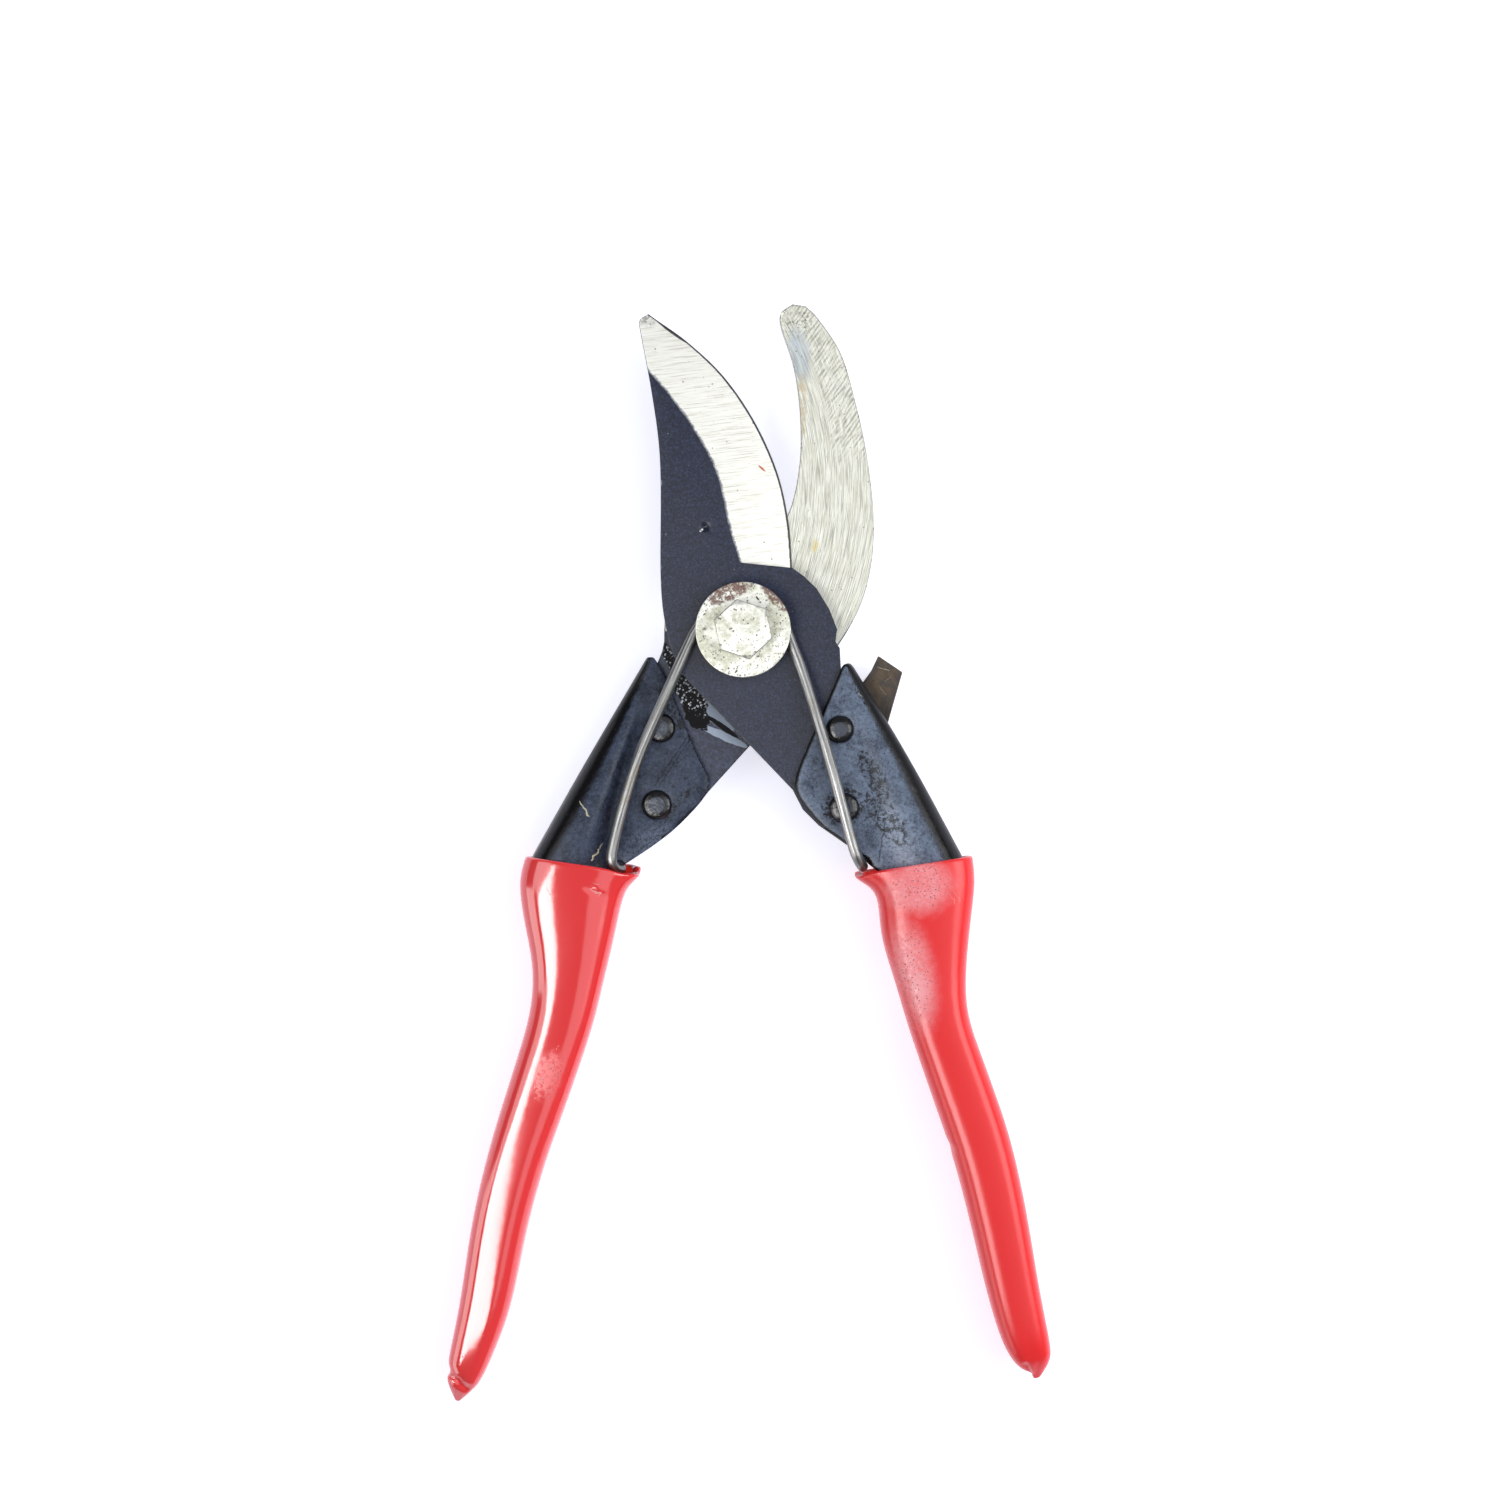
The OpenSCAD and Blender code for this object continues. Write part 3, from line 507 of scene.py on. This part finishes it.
def red_sleeve(name, dust, veil, gloss, shine, scuffs):
    """Dipped red vinyl: glossy and a little wavy, with dust, specks and small scuffs. dust
    holds the ovals where it lies, and veil is how much it hides."""
    n = Nodes(name)
    slow = n.noise(n.place, 0.06, 2)
    smear = n.noise(n.unrolled(0.06, 3.0), 1.0, 3, 0.6)
    dusty = n.most(*(n.blob(*patch) for patch in dust))
    base = n.mix(slow, (0.82, 0.022, 0.024), (0.88, 0.028, 0.031))
    powder = n.step(n.math("ADD", smear, n.noise(n.place, 1.6, 3, 0.8)), 0.8, 1.2, veil * 0.5, veil)
    base = n.mix(n.times(dusty, powder), base, (0.95, 0.46, 0.49))
    crumbs = n.times(n.dots(1.9, 0.25, 0.6), dusty)
    specks = n.most(crumbs, n.dots(0.35, 0.05, 0.40))
    base = n.mix(n.times(specks, 0.85), base, tone(60, 20, 20))
    marks = n.most(*(n.scratch(*line) for line in scuffs))
    base = n.mix(n.times(marks, 0.6), base, (0.84, 0.40, 0.38))
    relief = n.bump(n.noise(n.unrolled(0.03, 0.8), 1.0, 1), 0.10)
    relief = n.bump(smear, 0.012, relief)
    relief = n.bump(n.noise(n.place, 0.55, 2), 0.012, relief)
    relief = n.bump(n.math("SUBTRACT", specks, marks), 0.04, relief)
    rough = n.step(n.times(dusty, n.step(n.noise(n.place, 1.1, 4, 0.8), 0.40, 0.56, 0.3, 1)),
                   0.0, 1.0, gloss, 0.5)
    return n.done(Base_Color=base, Roughness=rough, Specular_IOR_Level=shine, Normal=relief)


def sleeve_inside():
    """Matt red inner wall of the sleeves, with a faint red glow painted in to lighten the shade
    inside them.
    """
    n = Nodes("sleeve_inside")
    grain = n.noise(n.place, 0.9, 3)
    return n.done(Base_Color=n.mix(grain, (0.66, 0.014, 0.014), (0.82, 0.024, 0.022)),
                  Roughness=0.75, Specular_IOR_Level=0.15, Normal=n.bump(grain, 0.03),
                  # painted light: a faint red glow lightens the shaded inner wall
                  Emission_Color=(1.0, 0.03, 0.02, 1), Emission_Strength=0.3)


def zinc_rim():
    """Darker grey on the rounded edges of the bolt head and nut: painted shade that outlines the
    hexagon.
    """
    n = Nodes("zinc_rim")
    grain = n.noise(n.place, 1.6, 4, 0.8)
    return n.done(Base_Color=n.mix(grain, tone(118, 120, 114), tone(192, 192, 180)), Metallic=0.5,
                  Roughness=0.45, Normal=n.bump(grain, 0.03))


def zinc(name, rusty=False):
    """Dull zinc plating, crystalline and speckled; the top of the big washer has rusted."""
    n = Nodes(name)
    flakes = n.noise(n.place, 1.5, 5, 0.8)
    cloud = n.noise(n.place, 0.3, 2)
    base = n.mix(n.step(cloud, 0.4, 0.6), tone(196, 196, 178), tone(232, 232, 224))
    base = n.mix(n.step(flakes, 0.46, 0.36, 0, 0.7), base, tone(146, 145, 128))
    base = n.mix(n.step(flakes, 0.53, 0.64, 0, 0.8), base, tone(238, 238, 230))
    share = 0.46 if rusty else 0.36
    specks = n.most(n.dots(1.5, 0.34, share + 0.06), n.dots(2.3, 0.34, share))
    base = n.mix(n.times(specks, 0.85), base, tone(70, 66, 52))
    metal = 0.45
    if rusty:
        patches = n.most(n.blob((-3.2, 7.2), 20, (4.4, 1.9), 0.5, 0.15),
                         n.blob((6.0, 6.2), -47, (3.4, 1.2), 0.6, 0.15))
        rust = n.times(patches, n.step(n.noise(n.place, 1.2, 4, 0.8), 0.39, 0.52))
        base = n.mix(n.times(rust, 0.9), base, n.mix(flakes, tone(66, 34, 30), tone(132, 78, 60)))
        nicks = n.most(n.blob((2.7, 5.9), -54, (0.5, 0.16), 0.1),
                       n.blob((-1.3, -7.9), 52, (0.36, 0.14), 0.1))
        base = n.mix(nicks, base, tone(22, 20, 18))
        metal = n.step(rust, 0.0, 0.6, 0.45, 0.0)
    relief = n.bump(flakes, 0.05)
    relief = n.bump(n.noise(n.place, 0.5, 3), 0.12, relief)
    return n.done(Base_Color=base, Metallic=metal, Roughness=n.step(flakes, 0.3, 0.7, 0.34, 0.56),
                  Normal=relief)


def spring_wire():
    """Drawn steel wire with lengthwise streaks."""
    n = Nodes("spring_wire")
    streaks = n.noise(n.unrolled(0.05, 7.0), 1.0, 4, 0.7)
    patch = n.noise(n.place, 0.35, 3)
    base = n.mix(n.step(streaks, 0.38, 0.62), tone(90, 90, 90), tone(154, 154, 152))
    base = n.mix(n.step(patch, 0.55, 0.7, 0, 0.4), base, tone(116, 108, 92))
    nicks = n.most(n.dots(0.6, 0.16, 0.32), n.blob((-21.2, -32.4), 10, (0.3, 0.2), 0.1))
    base = n.mix(nicks, base, tone(34, 32, 30))
    relief = n.bump(streaks, 0.03)
    return n.done(Base_Color=base, Metallic=0.9, Roughness=n.step(streaks, 0.3, 0.7, 0.3, 0.46),
                  Normal=relief)


def worn_steel():
    """Lock lever: brown-black oxide rubbed through in the middle, with pale scratches."""
    n = Nodes("worn_steel")
    rubbed = n.times(n.blob((26.6, -9.8), 70, (5.6, 2.6), 0.5, 0.5),
                     n.step(n.noise(n.place, 0.6, 4), 0.35, 0.6))
    grain = n.noise(n.stretched(0.5, 2.4, 25), 1.0, 4, 0.7)
    base = n.mix(grain, tone(24, 20, 18), tone(64, 52, 42))
    base = n.mix(n.times(rubbed, 0.85), base, n.mix(grain, tone(58, 47, 36), tone(106, 90, 72)))
    lines = n.most(n.scratch((25.6, -6.9), (28.0, -7.7), 0.14, 0.1),
                   n.scratch((26.9, -9.6), (28.2, -8.8), 0.1, 0.2),
                   n.scratch((26.0, -10.6), (27.2, -12.4), 0.1, 0.2))
    base = n.mix(n.times(lines, 0.6), base, tone(180, 168, 150))
    pits = n.dots(1.1, 0.2, 0.5)
    base = n.mix(pits, base, tone(9, 8, 9))
    relief = n.bump(grain, 0.02)
    relief = n.bump(n.math("SUBTRACT", 0.0, n.most(lines, pits)), 0.04, relief)
    return n.done(Base_Color=base, Metallic=n.step(rubbed, 0.2, 0.9, 0.1, 0.5),
                  Roughness=n.step(grain, 0.3, 0.7, 0.36, 0.55), Normal=relief)


def rivet_black():
    """Enamelled rivet head whose flat, upward-facing top is painted blue-grey, partly as worn paint
    and partly as painted sheen.
    """
    n = Nodes("rivet_black")
    # the upward-facing top is picked by its facing: its paler blue-grey is partly painted sheen
    crown_wear_and_sheen = n.step(n.facing_up(), 0.96, 0.995)
    grain = n.noise(n.place, 1.8, 4, 0.8)
    base = n.mix(crown_wear_and_sheen, tone(5, 5, 7), n.mix(grain, tone(14, 18, 28), tone(54, 65, 86)))
    relief = n.bump(grain, 0.05)
    relief = n.bump(n.noise(n.place, 0.6, 2), 0.2, relief)
    return n.done(Base_Color=base, Roughness=n.step(crown_wear_and_sheen, 0, 1, 0.2, 0.38), Normal=relief)


def plain_steel(name):
    """Turned steel of the collar and the small washers, with fine rings and grime."""
    n = Nodes(name)
    rings = n.noise(n.circled((0, 0), 9.0, 0.4), 1.0, 2)
    grime = n.noise(n.place, 0.8, 4, 0.7)
    base = n.mix(rings, tone(120, 118, 112), tone(168, 166, 158))
    base = n.mix(n.step(grime, 0.48, 0.62, 0, 0.8), base, tone(48, 42, 36))
    return n.done(Base_Color=base, Metallic=0.9, Roughness=n.step(grime, 0.4, 0.7, 0.35, 0.6),
                  Normal=n.bump(rings, 0.02))


# Mesh helpers --------------------------------------------------------------------------


def ease(value, start, end):
    """0 up to start and 1 from end on, smooth between them."""
    share = np.clip((np.asarray(value, float) - start) / (end - start), 0, 1)
    return share * share * (3 - 2 * share)


def smoothed(values, width):
    """A row of numbers with a bell-shaped average over width neighbours each way."""
    reach = np.arange(-3 * width, 3 * width + 1)
    bell = np.exp(-0.5 * (reach / width) ** 2)
    ends = len(reach) // 2
    head = 2 * values[0] - values[ends:0:-1]
    tail = 2 * values[-1] - values[-2:-ends - 2:-1]
    return np.convolve(np.concatenate([head, values, tail]), bell / bell.sum(), "valid")


def curve(points, steps):
    """Catmull-Rom curve through the points."""
    points = np.array(points, float)
    padded = np.vstack([2 * points[0] - points[1], points, 2 * points[-1] - points[-2]])
    result = []
    for i in range(1, len(padded) - 2):
        a, b, c, d = padded[i - 1:i + 3]
        for f in np.arange(steps) / steps:
            result.append(b + 0.5 * f * (c - a + f * (2 * a - 5 * b + 4 * c - d
                                                      + f * (3 * (b - c) + d - a))))
    return np.array([*result, points[-1]])


def add_piece(name, points, faces, material, maps=None):
    """A smooth mesh object from points in millimetres."""
    mesh = bpy.data.meshes.new(name)
    mesh.from_pydata([tuple(p) for p in np.asarray(points) * MM], [], faces)
    mesh.polygons.foreach_set("use_smooth", [True] * len(mesh.polygons))
    if maps is not None:
        layer = mesh.uv_layers.new(name="own")
        corners = [maps[v.vertex_index] for v in mesh.loops]
        layer.data.foreach_set("uv", np.array(corners, np.float32).ravel())
    mesh.materials.append(material)
    piece = bpy.data.objects.new(name, mesh)
    bpy.context.scene.collection.objects.link(piece)
    return piece


def tube_faces(rings, sides):
    """Quads between rings of points that follow each other."""
    faces = []
    for i in range(rings - 1):
        for k in range(sides):
            a, b = i * sides + k, i * sides + (k + 1) % sides
            faces.append((a, b, b + sides, a + sides))
    return faces


def paint(node, *materials):
    """Puts materials on a CAD node, in the order of its slots."""
    slots = NODES[node].data.materials
    slots.clear()
    for material in materials:
        slots.append(material)


DOUBLED = 0.003  # points of a CAD mesh nearer than this are one
SHARP = 35  # edges with more degrees between their faces get rounded


def eased_edges(node, width, rim=-1):
    """Rounds the sharp edges of a CAD node without touching its mesh. rim is the slot of the
    material they get, if they have their own."""
    piece = NODES[node]
    piece.data.polygons.foreach_set("use_smooth", [True] * len(piece.data.polygons))
    piece.modifiers.new("weld", "WELD").merge_threshold = DOUBLED * MM
    bevel = piece.modifiers.new("edges", "BEVEL")
    bevel.width = width * MM
    bevel.segments = 2
    bevel.material = rim
    bevel.use_clamp_overlap = False
    bevel.limit_method = "ANGLE"
    bevel.angle_limit = math.radians(SHARP)
    piece.modifiers.new("normals", "WEIGHTED_NORMAL").keep_sharp = True


def settle(piece):
    """Puts a piece's modifiers into its mesh."""
    graph = bpy.context.evaluated_depsgraph_get()
    mesh = bpy.data.meshes.new_from_object(piece.evaluated_get(graph))
    piece.modifiers.clear()
    piece.data = mesh


# Pieces --------------------------------------------------------------------------------


VOXEL = 0.34
SPRING_END = (-47.2, -41.7)  # where along Y the left handle makes room for the spring's end
LEFT_FACE = 8.6  # height above which the left handle's face lies


def make_room(piece):
    """Cuts the left handle back beside the end of the spring, in the mouth of the sleeve."""
    for v in piece.data.vertices:
        if SPRING_END[0] * MM < v.co.y < SPRING_END[1] * MM:
            v.co.x = min(v.co.x, -22.1 * MM + 1.69 * (v.co.y + 44.3 * MM))


def mark_face(piece):
    """Marks the left handle's upper face, the only part of it that is softened further."""
    face = piece.vertex_groups.new(name="face")
    for v in piece.data.vertices:
        if v.co.z > LEFT_FACE * MM and v.normal.z > 0.3:
            face.add([v.index], float(ease(v.normal.z, 0.3, 0.6)), "REPLACE")


def pressed_handle(side, body, material):
    """The folded sheet handle, its edges rounded by forming and by the enamel."""
    node = side + "_handle"
    piece = bpy.data.objects.new(side + "_channel", NODES[node].data.copy())
    bpy.context.scene.collection.objects.link(piece)
    piece.modifiers.new("weld", "WELD").merge_threshold = DOUBLED * MM
    remesh = piece.modifiers.new("remesh", "REMESH")
    remesh.mode = "VOXEL"
    remesh.voxel_size = VOXEL * MM
    piece.modifiers.new("smooth", "SMOOTH").iterations = 7
    settle(piece)
    if side == "left":
        make_room(piece)
        mark_face(piece)
    press = piece.modifiers.new("pressed", "SMOOTH")
    press.iterations = 60
    if side == "left":
        press.vertex_group = "face"
    settle(piece)
    piece.data.polygons.foreach_set("use_smooth", [True] * len(piece.data.polygons))
    piece.data.materials.clear()
    piece.data.materials.append(material)
    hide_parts(node)
    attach(piece, body)


def cut(node, origin, across):
    """Where an upright plane through origin cuts a CAD node: the lowest and the highest
    reach along across, and the lowest and the highest height."""
    mesh = NODES[node].data
    points = np.empty(len(mesh.vertices) * 3)
    mesh.vertices.foreach_get("co", points)
    points = points.reshape(-1, 3) / MM - (*origin, 0)
    edges = np.empty(len(mesh.edges) * 2, int)
    mesh.edges.foreach_get("vertices", edges)
    a, b = points[edges.reshape(-1, 2)].transpose(1, 0, 2)
    side_a, side_b = (p[:, 0] * across[1] - p[:, 1] * across[0] for p in (a, b))
    crossing = side_a * side_b < 0
    share = (side_a / np.where(crossing, side_a - side_b, 1))[crossing, None]
    hits = a[crossing] + share * (b - a)[crossing]
    reach = hits[:, :2] @ across
    return reach.min(), reach.max(), hits[:, 2].min(), hits[:, 2].max()


SLEEVE_WALL = 1.1
SQUARENESS = 3.3
SIDES = 72
NOSE = 5  # length of the rounded end
RIM_TURN = 22  # the sections turn from the rim's slant to square over this length
LINED = 26  # the inner wall stops this far from the tip
ROLLED_LIP = ((SLEEVE_WALL, 0.0), (0.8, 0.28), (0.3, 0.28))  # inset and how far it stands out


def oval(angle):
    """Point of a squared circle, across and up."""
    wave = np.stack([np.cos(angle), np.sin(angle)], -1)
    return np.sign(wave) * np.abs(wave) ** (2 / SQUARENESS)


def sleeve_sections(node, start, way, rim, length):
    """Sections of a sleeve's CAD solid: how far they are from the rim, the direction across
    each, then middle and half size across, and middle and half size in height."""
    square = np.array([-way[1], way[0]])
    runs = np.concatenate([np.arange(0.15, 8, 0.45), np.arange(8, length - NOSE, 1.0),
                           length - NOSE * np.cos(np.linspace(0, math.pi / 2, 14))[:-1]])
    turns = ease(runs, 0, RIM_TURN)[:, None]
    acrosses = rim * (1 - turns) + square * turns
    acrosses /= np.linalg.norm(acrosses, axis=1)[:, None]
    cuts = np.array([cut(node, start + way * min(r, length - 0.6), a)
                     for r, a in zip(runs, acrosses)])
    even = np.linspace(runs[0], runs[-1], 220)
    left, right, bottom, top = (
        np.interp(runs, even, smoothed(np.interp(even, runs, column), 4)) for column in cuts.T)
    nose = np.sqrt(np.clip(1 - ((runs - (length - NOSE)) / NOSE).clip(0) ** 2, 0.0004, 1))
    return (runs, acrosses, (left + right) / 2, (right - left) / 2 * nose ** 0.6,
            (bottom + top) / 2, (top - bottom) / 2 * nose)


def dipped_sleeve(side, body, mouth, tip, inward, sag, creases, material):
    """The vinyl sleeve, lofted on sections of its CAD solid. mouth holds the rim's left and
    right corners. inward is 1 if the finger side is the right one, or -1. sag is how deep
    the upper rim dips, where, and how far the lower rim stands out at the finger side."""
    node = side + "_grip"
    corners = np.array(mouth, float)
    start, tip = corners.mean(0), np.array(tip, float)
    length = np.linalg.norm(tip - start)
    way = (tip - start) / length
    rim = (corners[1] - corners[0]) / np.linalg.norm(corners[1] - corners[0])
    runs, acrosses, middle, half_w, mid_z, half_t = sleeve_sections(node, start, way, rim, length)
    angles = np.arange(SIDES) * 2 * math.pi / SIDES
    shape = oval(angles)
    finger = inward * shape[:, 0]
    upper, lower = shape[:, 1] > 0, shape[:, 1] < 0

    def ring(i, inset):
        flat = (start + way * runs[i] + np.outer(middle[i] + (half_w[i] - inset) * shape[:, 0],
                                                 acrosses[i]))
        up = mid_z[i] + (half_t[i] - inset) * shape[:, 1]
        close = math.exp(-(runs[i] / 3.2) ** 2)
        dip = sag[0] * np.exp(-((finger - sag[1]) / 0.24) ** 2) * upper * close
        dip = dip - sag[2] * np.exp(-((finger - 0.9) / 0.3) ** 2) * lower * close
        flat += np.outer(dip, way)
        lip = (0.9 - 0.4 * inset) * np.exp(-((finger - 1) / 0.16) ** 2) * close ** 2
        flat += np.outer(lip * inward, acrosses[i])
        return np.column_stack([flat, up])

    outside = np.array([ring(i, 0) for i in range(len(runs))])
    lead = np.array([ring(0, inset) - (*(way * back), 0) for inset, back in ROLLED_LIP])
    inner_runs = np.flatnonzero(runs < length - LINED)[::3]
    inside = np.array([ring(i, SLEEVE_WALL) for i in inner_runs[:0:-1]])
    skin = np.concatenate([inside, lead, outside])
    creased(skin, creases)

    points = list(skin.reshape(-1, 3))
    faces = tube_faces(len(skin), SIDES)
    first, last = list(range(SIDES)), list(range(len(points) - SIDES, len(points)))
    points += [np.mean([points[v] for v in first], 0), np.mean([points[v] for v in last], 0)]
    for k in range(SIDES):
        faces.append((first[(k + 1) % SIDES], first[k], len(points) - 2))
        faces.append((last[k], last[(k + 1) % SIDES], len(points) - 1))
    maps = [(math.sin(angles[v % SIDES] / 2), float((np.array(p[:2]) - start) @ way))
            for v, p in enumerate(points)]
    piece = add_piece(side + "_sleeve", points, faces, material, maps)
    piece.data.materials.append(sleeve_inside())
    for face in piece.data.polygons[:len(inside) * SIDES]:
        face.material_index = 1
    piece.modifiers.new("fine", "SUBSURF").render_levels = 1
    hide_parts(node)
    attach(piece, body)


def creased(skin, creases):
    """Presses creases into a lofted skin: from, to, depth and width of each. A negative
    depth is a swelling."""
    middle = skin.mean(1)
    for start, end, depth, width in creases:
        start, run = np.array(start, float), np.array(end, float) - start
        away = skin[..., :2] - start
        share = np.clip(away @ run / (run @ run), 0, 1)
        gap = np.linalg.norm(away - share[..., None] * run, axis=-1)
        press = depth * np.exp(-(gap / width) ** 2)
        out = skin - middle[:, None]
        out /= np.maximum(np.linalg.norm(out, axis=-1, keepdims=True), 0.1)
        skin -= press[..., None] * out


WIRE_SIDES = 20
WIRE_RADIUS = 1.05
END_TAPER = (0.55, 0.85)  # share of the radius at the wire's last rings
ARCH_R = 7.8
LEFT_LEG = [(-9.5, -1, 0), (-14.3, -11.6, 0), (-19.2, -22.6, 0), (-22.3, -32, 0),
            (-24.5, -40.6, 0), (-24.9, -43.6, 0), (-24.3, -44.9, -0.9),
            (-23.4, -45.3, -2.8), (-23.2, -45.4, -5)]
RIGHT_LEG = [(9.2, -2.6, 0), (11.6, -9, 0.5), (14.4, -18, 1.7), (16.8, -26.4, 2.4),
             (18.6, -33, 2.5), (20.8, -40.9, 2.3), (21.7, -43.2, 1.7), (22.3, -44.3, 0.3),
             (22.6, -44.7, -1.7), (22.6, -44.7, -4)]


def hairpin(material):
    """One drawn wire: two legs and an arch round the collar under the big washer. The legs'
    points are in the plane, with their height above the middle of the collar."""
    arch = [(ARCH_R * math.cos(a), ARCH_R * math.sin(a), 0)
            for a in np.radians(np.linspace(162, 18, 29))]
    path = np.vstack([curve(LEFT_LEG, 8)[::-1], arch, curve(RIGHT_LEG, 8)])
    path += (0, 0, (low("spring_collar", 2) + high("spring_collar", 2)) / 2)
    ways = np.gradient(path, axis=0)
    ways /= np.linalg.norm(ways, axis=1)[:, None]
    up = np.array([0, 0, 1.0])
    runs = np.concatenate([[0], np.cumsum(np.linalg.norm(np.diff(path, axis=0), axis=1))])
    rings = []
    angles = np.arange(WIRE_SIDES) * 2 * math.pi / WIRE_SIDES
    for i, (place, way) in enumerate(zip(path, ways)):
        up = up - (up @ way) * way
        up /= np.linalg.norm(up)
        beside = np.cross(way, up)
        edge = min(i, len(path) - 1 - i)
        r = WIRE_RADIUS * (END_TAPER[edge] if edge < len(END_TAPER) else 1)
        round_wire = np.outer(np.cos(angles), up) + np.outer(np.sin(angles), beside)
        rings.append(place + r * round_wire)
    points = list(np.array(rings).reshape(-1, 3))
    faces = tube_faces(len(rings), WIRE_SIDES)
    faces.append(tuple(range(WIRE_SIDES))[::-1])
    faces.append(tuple(range(len(points) - WIRE_SIDES, len(points))))
    maps = [(math.sin(angles[v % WIRE_SIDES] / 2), runs[v // WIRE_SIDES])
            for v in range(len(points))]
    piece = add_piece("spring", points, faces, material, maps)
    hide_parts("hairpin_spring")
    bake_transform(piece)


def cutting_blade():
    """The CAD blade, with its ground face in steel and the rest in black."""
    paint("cutting_blade", black_blade(), bevel_steel(), blade_rim())
    for face in NODES["cutting_blade"].data.polygons:
        up, spot = face.normal.z, face.center / MM
        face.material_index = int(0.80 < up < 0.995 and spot.y > 11)
    eased_edges("cutting_blade", 0.09, rim=2)


make_camera()
make_studio()
cutting_blade()
paint("counter_blade", ground_steel(), hook_rim())
eased_edges("counter_blade", 0.2, rim=1)

# The right handle's bloom colour is paler than the left's: painted sheen for the brighter light on
# its flats.
pressed_handle("left", "hook_side", handle_enamel(
    "left_enamel", (56, 66, 86), (-0.86, 0.5), 8.9,
    chips=[((-30.9, -32.4), (-29.0, -35.4), 0.22, 0.2),
           ((-26.6, -40.4), (-28.8, -43.8), 0.26, 0.3)],
    scratches=[((-10.5, -20.1), (-16.8, -29.5), 0.14, 0.05),
               ((-10.0, -20.5), (-16.1, -29.8), 0.12, 0.05),
               ((-14.0, -37.4), (-20.0, -42.0), 0.12)],
    grime=[((-13.5, -15.0), -60, (4.5, 1.6)), ((-12.5, -33.0), 48, (4.0, 0.8))],
    worn=((-19.0, -40.2), 38, (5.6, 2.2), 0.6, 0.5)))
pressed_handle("right", "blade_side", handle_enamel(
    "right_enamel", (102, 115, 136), (0.86, 0.5), 12.0,
    chips=[((21.8, -11.9), (22.6, -12.7), 0.1, 0.3)],
    scratches=[((26.8, -36.4), (25.6, -44.0), 0.2, 0.2), ((21.8, -36.8), (24.2, -35.2), 0.16)],
    grime=[((22.6, -11.6), -60, (3.2, 1.2)), ((24.6, -27.6), -62, (5.4, 1.8)),
           ((27.0, -35.5), -55, (6.0, 2.4)), ((19.0, -33.4), 20, (4.2, 3.6))],
    worn=((29.5, -39.0), 115, (6.5, 3.0), 0.6, 0.5)))

dipped_sleeve(
    "left", "hook_side", ((-41.3, -42.9), (-20.3, -45.9)), (-54.3, -146.9), 1, (0.5, 0.8, 1.1),
    [((-56.8, -139.6), (-52.2, -143.4), 0.9, 0.7), ((-28.9, -48.7), (-26.6, -50.1), 0.35, 0.36)],
    red_sleeve("left_red", [((-36.6, -84.0), 75, (4.0, 2.2), 0.4, 0.7)], 0.1, 0.12, 1.0,
               [((-37.0, -48.6), (-35.6, -51.4), 0.12), ((-28.8, -48.9), (-26.9, -50.0), 0.4, 0.3),
                ((-28.2, -47.8), (-26.9, -48.1), 0.2, 0.3), ((-27.2, -50.2), (-26.7, -49.3), 0.22)]))
dipped_sleeve(
    "right", "blade_side", ((21.8, -46.1), (43.5, -42.8)), (55.6, -142.6), -1, (0.5, 1.0, 0.2),
    [((53.4, -139.2), (54.2, -141.0), 1.0, 0.6), ((55.6, -138.8), (55.4, -141.4), 0.3, 0.4),
     ((37.4, -96.4), (39.8, -98.4), 0.3, 0.5)],
    red_sleeve("right_red", [((33.2, -48.4), 4, (5.5, 4.9), 0.25, 0.45),
                             ((32.2, -65.0), -80, (9.0, 3.4), 0.2, 0.6)], 0.75, 0.26, 0.35,
               [((38.6, -49.2), (40.0, -51.8), 0.12), ((39.6, -49.0), (41.0, -51.4), 0.1)]))
hairpin(spring_wire())

rivet_paint = rivet_black()
for rivet in ("left_rivet_upper", "left_rivet_lower", "right_rivet_upper", "right_rivet_lower"):
    paint(rivet, rivet_paint)
    eased_edges(rivet, 0.1)
paint("pivot_washer", zinc("washer_zinc", rusty=True))
bolt_zinc, bolt_rim = zinc("bolt_zinc"), zinc_rim()
for node in ("pivot_bolt", "pivot_nut", "back_washer"):
    paint(node, bolt_zinc, bolt_rim)
for node in ("spring_collar", "lock_washer"):
    paint(node, plain_steel(node + "_steel"))
for node in ("pivot_washer", "back_washer", "spring_collar", "lock_washer"):
    eased_edges(node, 0.18)
# their rounded edges take the darker grey of the rim: painted shade along the hexagon's outline
for node in ("pivot_bolt", "pivot_nut"):
    eased_edges(node, 0.16, rim=1)
paint("lock_lever", worn_steel())
eased_edges("lock_lever", 0.15)
